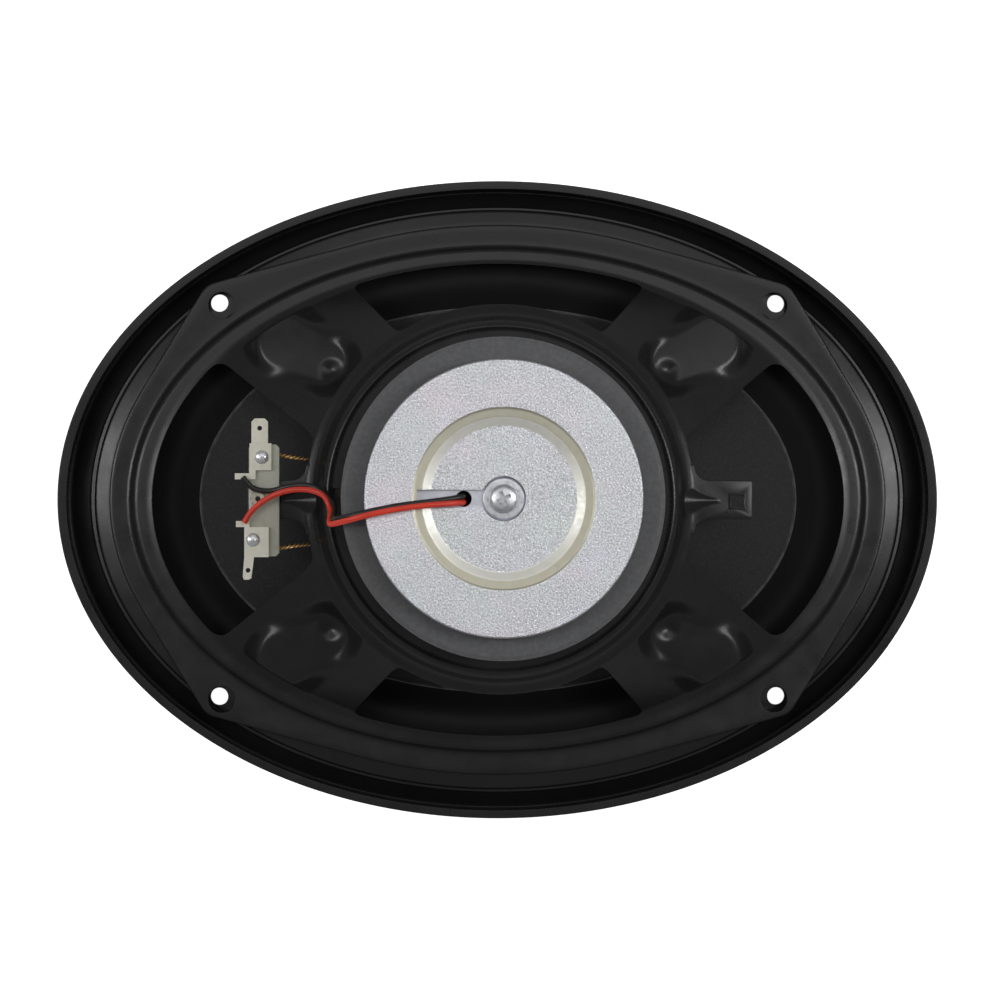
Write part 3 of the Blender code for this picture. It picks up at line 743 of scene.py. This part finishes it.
def make_basket():
    look = basket_paint()
    turns = basket_turns()
    columns = basket_rows(turns)
    count, rows = len(columns), len(columns[0])
    points = [columns[i][k] for k in range(rows) for i in range(count)]
    faces = []
    for k in range(rows - 1):
        for i in range(count):
            j = (i + 1) % count
            faces.append((k * count + i, (k + 1) * count + i, (k + 1) * count + j, k * count + j))
    sheet = build("basket_sheet", points, faces, look, None, 50)
    if sheet.data.polygons[0].normal.z < 0:
        sheet.data.flip_normals()
    wall = sheet.modifiers.new("wall", "SOLIDIFY")
    wall.thickness = 1.0 * MM
    wall.offset = -1.0
    apply_modifiers(sheet)
    shapes = []
    low, high = 12.0, 62.0
    for flip in (False, True):
        shapes.append(prism("c", mirrored(side_window(), flip, False), low, high, look, None))
        shapes.append(prism("c", mirrored(end_window(), False, flip), low, high, look, None))
    for x, y in HOLES:
        spot = circle(x - math.copysign(0.7, x), y - 0.75, 3.7)
        shapes.append(prism("c", spot, low, 16.0, look, None))
    shapes.append(prism("c", box_outline(-45.6, -42.6, -4.2, 2.9), 48.0, 52.0, look, None))
    carve(sheet, shapes, 60, "MANIFOLD")
    parts = [sheet]
    for side in (-1, 1):
        parts += tab(side, look)
    whole = join("basket_pressing", parts)
    whole.data.shade_smooth()
    whole.data.set_sharp_from_angle(angle=math.radians(62))
    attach(whole, "frame")
    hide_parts("basket")


# ----------------------------------------------------------------- front frame


def make_trim():
    look = trim_plastic()
    section = [
        (120.4, 87.2, 13.7),
        (120.4, 87.2, 4.0),
        (119.3, 86.1, 1.3),
        (116.6, 83.6, 0.0),
        (112.0, 79.2, 0.0),
        (100.2, 71.6, 1.0),
        (98.6, 70.1, 1.6),
        (98.6, 70.1, 3.2),
        (96.4, 67.9, 3.2),
        (96.4, 67.9, 11.7),
        (101.9, 72.5, 11.7),
        (101.9, 72.5, 12.6),
        (106.3, 75.5, 12.5),
        (109.9, 79.0, 11.6),
        (110.4, 79.4, 11.0),
        (111.3, 80.1, 10.9),
        (111.6, 80.3, 10.2),
        (117.4, 84.5, 6.6),
        (117.9, 85.0, 7.2),
        (117.9, 85.0, 13.7),
    ]
    cuts = [0.35, 1.5, 1.2, 1.2, 1.5, 0.5, 0.3, 0.3, 0.3, 0.3]
    cuts += [0.2, 0.2, 0.9, 0.6, 0.2, 0.25, 0.25, 0.6, 0.4, 0.2]
    ring = band("trim_moulding", rounded(section, cuts, 3), look, 320, None)
    shapes = []
    for x, y in HOLES:
        profile = [(4.4, -1.0), (4.4, 9.7), (2.4, 9.7), (2.4, 15.0)]
        shapes.append(turned("c", profile, look, 32, (x, y), None, 0.0))
    carve(ring, shapes)
    flat_normals(ring)
    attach(ring, "frame")
    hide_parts("trim_ring")


# ---------------------------------------------------------------------- motor


def make_motor():
    grey = ferrite()
    low, high = span("magnet")
    section = [(19.0, low.z), (high.x - 0.9, low.z), (high.x, low.z + 0.9), (high.x, high.z - 0.9)]
    section += [(high.x - 0.9, high.z), (19.0, high.z)]
    ring = round_band("magnet_ring", section, grey, 256, cut=0.35)
    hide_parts("magnet")

    metal = zinc()
    low, high = span("top_plate")
    section = [(17.3, low.z), (high.x - 0.3, low.z), (high.x, low.z + 0.5), (high.x, high.z), (17.3, high.z)]
    plate = round_band("front_plate", section, metal, 192, cut=0.4)
    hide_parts("top_plate")

    low, high = span("yoke")
    top = high.z
    plate_low = span("magnet")[1].z + 0.3
    disc, floor = top - 1.4, top - 3.4
    pole = 15.3
    section = [
        (2.3, low.z),
        (pole - 0.8, low.z),
        (pole, low.z + 0.8),
        (pole, plate_low),
        (high.x - 0.8, plate_low),
        (high.x, plate_low + 0.8),
        (high.x, top - 0.3),
        (high.x - 0.3, top),
        (23.6, top),
        (23.2, top - 0.3),
        (21.1, top - 0.45),
        (18.9, disc),
        (5.7, disc),
        (5.7, floor),
        (2.3, floor),
    ]
    cuts = [0.3, 0.3, 0.3, 0.3, 0.3, 0.5, 0.2, 0.2, 0.2, 0.3, 0.35, 0.3, 0.3, 0.2, 0.2]
    loop = rounded(section, cuts, 4)
    yoke = band("back_plate", [(r, r, z) for r, z in loop], metal, 256, None)
    groove = prism("c", box_outline(-22.4, -4.0, -2.35, 2.35), floor + 0.02, top + 1, metal, None)
    hole = turned("c", [(2.1, low.z - 2), (2.1, top)], metal, 40, (-10.3, 0), None, 0)
    carve(yoke, [groove])
    carve(yoke, [hole])
    paint_coined_faces(yoke, disc, top)
    flat_normals(yoke)
    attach(yoke, "frame")
    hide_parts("yoke")


def paint_coined_faces(yoke, disc, top):
    """The band, the slope and the pocket are smooth; the rest keeps its grain. The slope's bright pale colour
    is a painted highlight, a bright ring all round.
    """
    yoke.data.materials.append(coined_zinc("zinc_band", (0.60, 0.58, 0.47), 0.45, 0.85))
    # painted highlight: the slope's material is coloured pale so that it shows as a bright ring all round
    yoke.data.materials.append(coined_zinc("zinc_slope_painted_highlight", (0.88, 0.87, 0.80), 0.42, 0.55))
    yoke.data.materials.append(coined_zinc("zinc_pocket", (0.76, 0.77, 0.84), 0.38, 0.8))
    for face in yoke.data.polygons:
        middle = face.center / MM
        radius = math.hypot(middle.x, middle.y)
        if middle.z < disc - 0.05:
            if radius < 23 and middle.z > disc - 2.2:
                face.material_index = 3
        elif 21.1 < radius < 23.65 and middle.z < top + 0.01:
            face.material_index = 1
        # the slope's faces get the painted highlight
        elif 18.95 < radius <= 21.1:
            face.material_index = 2


def make_screw():
    steel = plated("screw_zinc", (0.82, 0.84, 0.88), 0.34)
    low, high = span("center_screw")
    seat = high.z - 1.9
    profile = [(2.0, low.z), (2.0, seat), (3.7, seat)]
    profile += [(3.7, seat + 0.8), (3.1, seat + 1.5), (1.8, seat + 1.9)]
    screw = turned("cross_head_screw", profile, steel, 96, body=None, cut=0.5)
    shapes = []
    for i in range(2):
        turn = math.radians(25 + 90 * i)
        c, s = math.cos(turn), math.sin(turn)
        wide, slim = 2.0, 0.5
        outline = [(c * x - s * y, s * x + c * y) for x, y in box_outline(-wide, wide, -slim, slim)]
        shapes.append((outline, seat + 0.5))
    for outline, bottom in shapes:
        carve(screw, [prism("c", outline, bottom, seat + 3, steel, None)])
    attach(screw, "frame")
    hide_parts("center_screw")
    low, high = span("screw_washer")
    section = [(2.3, low.z), (high.x, low.z), (high.x, high.z), (2.3, high.z)]
    washer = round_band("washer", section, steel, 96, cut=0.2)
    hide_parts("screw_washer")


# ----------------------------------------------------------------- suspension


def cone_point(f, neck=16.6):
    half_x = neck + (81.1 - neck) * f
    half_y = neck + (52.3 - neck) * f
    return half_x, half_y, 17.0 + 29.6 * (1 - f) ** 1.15


def make_cone():
    look = paper_black()
    rows = [cone_point(k / 40) for k in range(41)]
    section = rows + [(half_x, half_y, z - 0.8) for half_x, half_y, z in reversed(rows)]
    cone = band("paper_cone_sheet", section, look, 192, None)
    half_x, half_y, z = rows[-1]
    bead = [(half_x - 0.5, half_y - 0.5, z + 0.15), (half_x, half_y, z + 0.4)]
    bead += [(half_x + 0.3, half_y + 0.3, z + 0.1), (half_x + 0.3, half_y + 0.3, z - 0.5)]
    bead += [(half_x - 0.3, half_y - 0.3, z - 0.5)]
    # painted highlight: the bead round the cone's edge is painted pale grey to show the bright line along the
    # edge; the darker blotches on it are random tone
    pale = Look("cone_edge_painted_highlight", (0.10, 0.10, 0.10), 0.30)
    pale.paint(pale.remap(pale.noise(3, 3), 0.42, 0.66, 0.0, 0.7), (0.04, 0.04, 0.04))
    pale.relief(pale.noise(0.8, 3), 0.05)
    edge = band("cone_bead_painted_highlight", bead, pale.material, 192, None)
    cone = join("paper_cone", [cone, edge])
    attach(cone, "cone_assembly")
    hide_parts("cone")


def set_radial_blend(piece, share):
    """Gives every vertex its own share of the moving body's motion."""
    weights = piece.data.attributes["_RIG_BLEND"]
    for vertex, item in zip(piece.data.vertices, weights.data):
        item.value = share(vertex.co / MM)


def oval_share(point, inner, outer):
    """0 on the outer oval, 1 on the inner one."""
    x, y = abs(point.x), abs(point.y)
    low, high = 0.0, 1.0
    for _ in range(24):
        f = (low + high) / 2
        half_x = inner[0] + (outer[0] - inner[0]) * f
        half_y = inner[1] + (outer[1] - inner[1]) * f
        if (x / half_x) ** 2 + (y / half_y) ** 2 > 1:
            low = f
        else:
            high = f
    return 1 - smooth((low + high) / 2)


def make_surround():
    look = rubber_black()
    inner, outer, depth = (81.5, 52.7), (95.8, 67.4), 6.4
    roll = []
    for k in range(25):
        f = k / 24
        half_x = inner[0] + (outer[0] - inner[0]) * f
        half_y = inner[1] + (outer[1] - inner[1]) * f
        level = 15.8 + (12.7 - 15.8) * f
        roll.append((half_x, half_y, level - depth * math.sin(math.pi * f)))
    rear = [(78.5, 49.7, 15.8)] + roll + [(101.4, 72.0, 12.7)]
    front = [(half_x, half_y, z - 0.6) for half_x, half_y, z in reversed(rear)]
    piece = band("rubber_surround", rear + front, look, 192, None)
    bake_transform(piece, "frame", "cone_assembly", start=(0, 0, 0.012), end=(0, 0, 0.0165))
    set_radial_blend(piece, lambda p: oval_share(p, inner, outer))
    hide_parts("surround")


def spider_cloth():
    look = Look("spider_dark_cloth", (0.030, 0.022, 0.012), 0.8)
    weave = look.noise(0.5, 2, 0.6)
    look.fleck(weave, 0.4, 0.65, 0.8, (0.016, 0.012, 0.008))
    look.relief(weave, 0.08)
    return look.material


def make_spider():
    look = spider_cloth()
    level = 48.65
    rear = [(16.2, level - 0.6), (18.4, level - 0.6)]
    for k in range(1, 64):
        f = k / 64
        rear.append((18.4 + (34.5 - 18.4) * f, level - 0.7 - 0.6 * math.cos(math.pi * 7 * f)))
    rear += [(35.5, level), (44.0, level)]
    front = [(r, z - 0.5) for r, z in reversed(rear)]
    points = [(r, r, z) for r, z in rear + front]
    piece = band("cloth_spider", points, look, 144, None)
    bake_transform(piece, "frame", "cone_assembly", start=(0, 0, 0.047), end=(0, 0, 0.0486))
    set_radial_blend(piece, lambda p: 1 - smooth((math.hypot(p.x, p.y) - 18.4) / 16.1))
    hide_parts("spider")


def make_coil():
    foil = plated("former_aluminium", (0.66, 0.66, 0.67), 0.3)
    low, high = span("voice_coil_former")
    section = [(15.7, low.z), (16.1, low.z), (16.1, high.z), (15.7, high.z)]
    former = round_band("coil_former", section, foil, 128, "cone_assembly", 0.08)
    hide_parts("voice_coil_former")
    copper = Look("enamelled_copper", (0.55, 0.20, 0.07), 0.3, 1.0)
    wave = copper.node("ShaderNodeTexWave", Scale=1 / (1.2 * MM))
    wave.bands_direction = "Z"
    copper.link(copper.place(), wave.inputs["Vector"])
    copper.paint(copper.remap(wave.outputs["Fac"], 0.2, 0.8, 0.0, 1.0), (0.80, 0.38, 0.16))
    copper.relief(wave.outputs["Fac"], 0.10)
    low, high = span("voice_coil_winding")
    section = [(16.2, low.z), (16.8, low.z), (16.8, high.z), (16.2, high.z)]
    winding = round_band("coil_winding", section, copper.material, 128, "cone_assembly", 0.15)
    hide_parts("voice_coil_winding")


# ------------------------------------------------------------------ terminals


def make_terminals():
    low, high = span("terminal_board")
    board_look = laminate()
    c = 0.9
    outline = [(low.x + c, low.y), (high.x - c, low.y), (high.x, low.y + c), (high.x, high.y - c)]
    outline += [(high.x - c, high.y), (low.x + c, high.y), (low.x, high.y - c), (low.x, low.y + c)]
    board = prism("laminate_board", outline, low.z, high.z, board_look, None, 0.15)
    apply_modifiers(board)
    carve(board, [prism("c", circle(-64.6, 0.1, 1.5), 40, 46, board_look, None)])
    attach(board, "frame")
    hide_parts("terminal_board")

    tin, bead, resin = ivory_tin(), solder(), flux()
    for pole in ("positive", "negative"):
        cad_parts[f"terminal_{pole}"].data.materials[0] = tin
        low, high = span(f"terminal_rivet_{pole}")
        middle = ((low.x + high.x) / 2, (low.y + high.y) / 2)
        plate = high.z - 1.0
        shank = turned(f"shank_{pole}", [(1.4, low.z), (1.4, plate)], bead, 40, middle, None)
        foot = turned(f"foot_{pole}", [(1.9, low.z), (1.9, 42.1)], bead, 40, middle, None)
        slope = [(1.9 * math.cos(t), plate + 1.0 * math.sin(t)) for t in (0, 0.25, 0.5, 0.8, 1.1, 1.35)]
        dome = turned(f"dome_{pole}", [(0.2, plate + 1.0)] + slope[::-1], bead, 40, middle, None, 0.05, 60)
        ring = [(2.1, plate + 0.03), (2.1, plate + 0.3), (1.7, plate + 0.42), (1.4, plate + 0.03)]
        halo = round_band(f"halo_{pole}", ring, resin, 48, None, 0.1)
        halo.location = (middle[0] * MM, middle[1] * MM, 0)
        joint = join(f"soldered_rivet_{pole}", [dome, shank, foot, halo])
        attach(joint, "frame")
        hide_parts(f"terminal_rivet_{pole}")
    brass = plated("eyelet_plated", (0.62, 0.58, 0.46), 0.26)
    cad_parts["board_eyelet"].data.materials[0] = brass


TWIN_ROUTE = [
    (-10.3, 0.0, 19.6),
    (-10.3, 0.0, 40.0),
    (-10.3, 0.0, 60.0),
    (-10.3, 0.0, 78.0),
    (-10.6, -0.2, 83.4),
    (-13.4, -0.6, 85.6),
    (-19.0, -1.2, 86.9),
    (-27.0, -2.2, 87.2),
    (-35.0, -3.8, 86.9),
    (-40.6, -5.2, 85.0),
    (-43.9, -5.9, 80.0),
    (-44.6, -5.2, 68.0),
    (-44.5, -3.4, 57.0),
    (-44.9, -1.9, 53.0),
]
RED_END = [
    (-46.6, 0.5, 52.3),
    (-49.4, 2.1, 51.5),
    (-53.2, 2.6, 50.2),
    (-57.2, 2.1, 48.8),
    (-60.6, 0.9, 47.7),
    (-63.8, -1.0, 47.0),
    (-66.4, -3.4, 46.6),
    (-68.2, -6.2, 46.3),
]
BLACK_END = [
    (-47.3, 1.8, 51.2),
    (-50.2, 3.4, 50.2),
    (-53.8, 3.7, 48.6),
    (-57.4, 3.1, 46.9),
    (-60.6, 2.3, 46.0),
    (-63.6, 2.3, 45.9),
    (-66.2, 3.2, 45.9),
    (-68.6, 5.9, 46.4),
]


def twin_offsets():
    """How far the red wire lies from the pair's middle; the black one lies as far the other way."""
    upright, stacked, turned_side = (0.0, -0.78, 0.0), (0.0, -0.42, 0.66), (-0.5, -0.62, 0.3)
    return [upright] * 5 + [(0.0, -0.6, 0.45)] + [stacked] * 3 + [turned_side] * 4 + [(-0.3, -0.75, 0.3)]


def make_leads():
    black_look = insulation("lead_black_pvc", (0.012, 0.012, 0.012), (0.026, 0.025, 0.024))
    red_look = insulation("lead_red_pvc", (0.64, 0.034, 0.014), (0.80, 0.060, 0.03))
    for name, sign, end, look in (("black", -1, BLACK_END, black_look), ("red", 1, RED_END, red_look)):
        stops = [Vector(p) + sign * Vector(o) for p, o in zip(TWIN_ROUTE, twin_offsets())]
        wire = tube(f"insulated_lead_{name}", stops + end, 0.75, look, sides=5)
        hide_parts(f"tweeter_lead_{name}")


def twisted(name, stops, radius, look, pitch=2.8, spacing=0.25):
    """Two strands of this radius laid round each other."""
    route = smooth_route(stops, spacing)
    strands = []
    for phase in (0, math.pi):
        line = []
        for k, place in enumerate(route):
            ahead = (route[min(k + 1, len(route) - 1)] - route[max(k - 1, 0)]).normalized()
            side = ahead.cross(Vector((0, 0, 1))).normalized()
            turn = 2 * math.pi * k * spacing / pitch + phase
            offset = side * math.cos(turn) + side.cross(ahead) * math.sin(turn)
            line.append(place + offset * radius * 0.85)
        strands.append(line)
    return cord(name, strands, radius, look, 1)


def make_tinsel():
    look = braid()
    low = span("terminal_board")[0].z - 0.7
    for pole, y, sign in (("positive", 11.9, -1), ("negative", -13.2, 1)):
        stops = [(-61.5, y, low), (-58.4, y + 0.2 * sign, low + 0.1), (-54.6, y + 0.8 * sign, low - 0.6)]
        stops += [(-51.6, y + 1.1 * sign, 38.6), (-47.5, y + 1.5 * sign, 35.6), (-43.0, y + 1.8 * sign, 35.2)]
        wire = twisted(f"braided_lead_{pole}", stops, 0.33, look)
        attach(wire, "frame")
        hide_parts(f"tinsel_lead_{pole}")


# ----------------------------------------------------------------- front side


def mottled(name, colour, roughness, other, blotch, grain, metallic=0.0, reach=(0.42, 0.70), most=0.5):
    """A colour with blotches of another one. Sizes are in millimetres, and grain is (size, depth)."""
    look = Look(name, colour, roughness, metallic)
    look.fleck(look.noise(blotch, 4), *reach, most, other)
    look.relief(look.noise(grain[0], 3), grain[1])
    return look


def with_gloss(look, size, low, high):
    return look.vary_roughness(look.noise(size, 3), low, high).material


GRILLE_EDGE = (98.1, 69.6)
GRILLE_HOLES = (95.6, 67.1)
GRILLE_DISH = [(0.0, 1.1), (0.22, 1.1), (0.61, 1.2), (0.88, 1.7), (1.0, 2.3), (9.0, 2.3)]


def grille_level(x, y):
    """Height of the grille's front face, which is dished a little."""
    share = math.hypot(x / GRILLE_EDGE[0], y / GRILLE_EDGE[1])
    for (a, low), (b, high) in zip(GRILLE_DISH, GRILLE_DISH[1:]):
        if share <= b:
            return low + (high - low) * (share - a) / (b - a)


def perforated_sheet(look):
    """Steel sheet of six-sided cells, each with a six-sided hole through it."""
    pitch, web, thick = 3.1, 0.26, 0.6
    corner = pitch / math.sqrt(3)
    hole = corner * (1 - 2 * web)
    same_point = 50  # points closer than 1/50 mm become one
    points, faces, known = [], [], {}

    def point(x, y, layer):
        key = (round(x * same_point), round(y * same_point), layer)
        if key not in known:
            known[key] = len(points)
            points.append((x, y, grille_level(x, y) + layer * thick))
        return known[key]

    turns = [math.radians(60 * k + 30) for k in range(6)]
    for row in range(-26, 27):
        for column in range(-33, 34):
            x = pitch * (column + 0.5 * (row % 2))
            y = corner * 1.5 * row
            if math.hypot(x / GRILLE_HOLES[0], y / GRILLE_HOLES[1]) > 1:
                continue
            rings = {}
            for layer in (0, 1):
                for size in (corner, hole):
                    ring = [point(x + size * math.cos(t), y + size * math.sin(t), layer) for t in turns]
                    rings[layer, size] = ring
            for k in range(6):
                j = (k + 1) % 6
                for layer in (0, 1):
                    outer, inner = rings[layer, corner], rings[layer, hole]
                    faces.append((outer[k], outer[j], inner[j], inner[k]))
                low, high = rings[0, hole], rings[1, hole]
                faces.append((low[k], low[j], high[j], high[k]))
    users = {}
    for face in faces:
        for a, b in zip(face, face[1:] + face[:1]):
            pair = (min(a, b), max(a, b))
            users[pair] = users.get(pair, 0) + 1
    above = {index: known[key[0], key[1], 1] for key, index in known.items() if key[2] == 0}
    for (a, b), count in users.items():
        if count == 1 and a in above and b in above:
            faces.append((a, b, above[b], above[a]))
    return build("perforated_sheet", points, faces, look, None, 30)


def make_grille():
    dark, pale = (0.012, 0.012, 0.013), (0.020, 0.020, 0.021)
    steel = mottled("grille_black_steel", dark, 0.42, pale, 6, (0.6, 0.015), reach=(0.45, 0.72))
    look = with_gloss(steel, 1.5, 0.34, 0.52)
    section = [(93.6, 65.1, 1.9), (95.2, 66.7, 1.9), (*GRILLE_EDGE, 2.3), (*GRILLE_EDGE, 2.9)]
    section += [(95.2, 66.7, 2.75), (93.6, 65.1, 2.6)]
    border = band("sheet_border", rounded(section, 0.12), look, 256, None)
    grille = join("perforated_grille", [perforated_sheet(look), border])
    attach(grille, "frame")
    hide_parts("grille_mesh")


def tweeter_dome(look):
    """A film dome that bulges toward the listener, with a flat rim."""
    rim, crown, height, film, base = 9.6, 7.8, 2.6, 0.35, 8.0
    turns = [math.radians(82 - 82 * k / 14) for k in range(15)]
    front = [(crown * math.cos(t), base - height * math.sin(t)) for t in turns] + [(rim, base)]
    shell = front + [(radius, z + film) for radius, z in reversed(front)]
    return turned("film_dome", shell, look, 96, (0, 0), "tweeter_diaphragm", 0.03)


def make_tweeter():
    dark, pale = (0.014, 0.014, 0.015), (0.022, 0.022, 0.023)
    black = mottled("tweeter_moulding", dark, 0.40, pale, 5, (0.45, 0.02), reach=(0.45, 0.72))
    plastic = with_gloss(black, 2, 0.32, 0.50)
    dark, pale = (0.24, 0.24, 0.25), (0.34, 0.34, 0.35)
    spun = mottled("faceplate_spun", pale, 0.30, dark, 1.6, (0.4, 0.012), 0.85, most=0.6)
    spun = with_gloss(spun, 0.8, 0.22, 0.42)
    dark, pale = (0.26, 0.24, 0.19), (0.36, 0.34, 0.28)
    film = mottled("dome_polyimide", pale, 0.26, dark, 2.0, (0.8, 0.015), 0.35).material
    dark, pale = (0.018, 0.030, 0.085), (0.030, 0.045, 0.120)
    blue = mottled("capacitor_sleeve_film", dark, 0.34, pale, 1.8, (0.7, 0.02)).material
    steel = plated("tweeter_cup_zinc", (0.56, 0.56, 0.56), 0.36)
    nickel = plated("tweeter_magnet_nickel", (0.70, 0.70, 0.67), 0.22)
    copper = plated("dome_coil_copper", (0.60, 0.25, 0.10), 0.3)

    post = [(2.3, 19.3), (9.0, 19.3), (9.0, 20.8), (5.6, 23.5)]
    post += [(5.6, 56.5), (8.0, 57.5), (8.0, 59.3), (2.3, 59.3)]
    cup = [(20.0, 19.0), (21.6, 17.4), (21.6, 6.4), (20.0, 6.4), (20.0, 17.2)]
    face = [(13.0, 4.4), (19.6, 4.4), (21.4, 5.6), (21.4, 6.1), (19.0, 6.1), (10.2, 7.6), (10.2, 7.0)]
    pot = [(9.8, 16.9), (9.8, 9.9), (8.4, 9.9), (8.4, 15.4)]
    can = [(2.8, 8.6), (3.2, 9.0), (3.2, 16.2), (2.8, 16.6)]
    coil = [(6.9, 9.0), (7.7, 9.0), (7.7, 13.6), (6.9, 13.6)]
    column = round_band("tweeter_column", post, plastic, 96, cut=0.25)
    shell = turned("tweeter_shell", cup, plastic, cut=0.3)
    flare = round_band("tweeter_flare", face, spun, 128, cut=0.15)
    winding = round_band("dome_coil", coil, copper, 96, "tweeter_diaphragm", 0.1)
    for piece, node, slot in (
        (column, "tweeter_post", "tweeter_plastic"),
        (shell, "tweeter_housing", "tweeter_plastic"),
        (flare, "tweeter_faceplate", "faceplate_finish"),
        (turned("tweeter_pot", pot, steel), "tweeter_cup", "tweeter_steel"),
        (turned("tweeter_slug", [(6.3, 15.1), (6.3, 10.6)], nickel), "tweeter_magnet", "tweeter_nickel"),
        (turned("sleeved_capacitor", can, blue, 48, (0, 15.0)), "crossover_capacitor", "capacitor_sleeve"),
        (tweeter_dome(film), "tweeter_dome", "dome_film"),
        (winding, "tweeter_coil", "coil_copper"),
    ):
        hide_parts(node)


# ---------------------------------------------------------------------- stage


def make_floor():
    look = Look("studio_floor", (0.86, 0.86, 0.86), 0.9)
    look.put("Emission Color", (1, 1, 1, 1))
    look.put("Emission Strength", 1.0)
    size = 3000
    level = -0.05
    corners = [(-size, -size, level), (size, -size, level), (size, size, level), (-size, size, level)]
    floor = build("floor", corners, [(0, 1, 2, 3)], look.material, None)
    floor.visible_glossy = False


def area_light(name, place, aim, width, height, radiance):
    """A softbox of this width and height in metres, turned to face a point, of the brightness given."""
    data = bpy.data.lights.new(name, "AREA")
    data.shape = "RECTANGLE"
    data.size = width
    data.size_y = height
    data.energy = radiance * math.pi * width * height
    lamp = bpy.data.objects.new(name, data)
    lamp.location = place
    lamp.rotation_euler = (Vector(aim) - Vector(place)).to_track_quat("-Z", "Y").to_euler()
    bpy.context.scene.collection.objects.link(lamp)


def make_lights():
    bpy.context.scene.view_settings.view_transform = "Standard"
    area_light("overhead", (0.15, 0.62, 1.5), (0.15, 0.62, 0), 1.3, 0.95, 0.78)
    area_light("left", (-0.85, 0.12, 1.0), (0, 0, 0.02), 0.28, 0.80, 5.5)
    area_light("right", (0.85, 0.12, 1.0), (0, 0, 0.02), 0.28, 0.80, 7.0)
    world = bpy.data.worlds.new("studio")
    world.use_nodes = True
    world.node_tree.nodes["Background"].inputs["Color"].default_value = (1, 1, 1, 1)
    world.node_tree.nodes["Background"].inputs["Strength"].default_value = 0.20
    bpy.context.scene.world = world


def make_camera():
    data = bpy.data.cameras.new("camera")
    data.lens = 158.0
    data.sensor_width = 36.0
    camera = bpy.data.objects.new("camera", data)
    place = Vector((-0.0244, -0.0039, 1.214))
    aim = Vector((0.0005, -0.0001, 0.014))
    camera.location = place
    ahead = (aim - place).normalized()
    right = ahead.cross(Vector((0, 1, 0))).normalized()
    turn = Matrix((right, right.cross(ahead), -ahead)).transposed()
    camera.rotation_euler = turn.to_euler()
    bpy.context.scene.collection.objects.link(camera)
    bpy.context.scene.camera = camera


make_camera()
make_floor()
make_lights()
make_trim()
make_basket()
make_motor()
make_screw()
make_cone()
make_surround()
make_spider()
make_coil()
make_terminals()
make_leads()
make_tinsel()
make_grille()
make_tweeter()
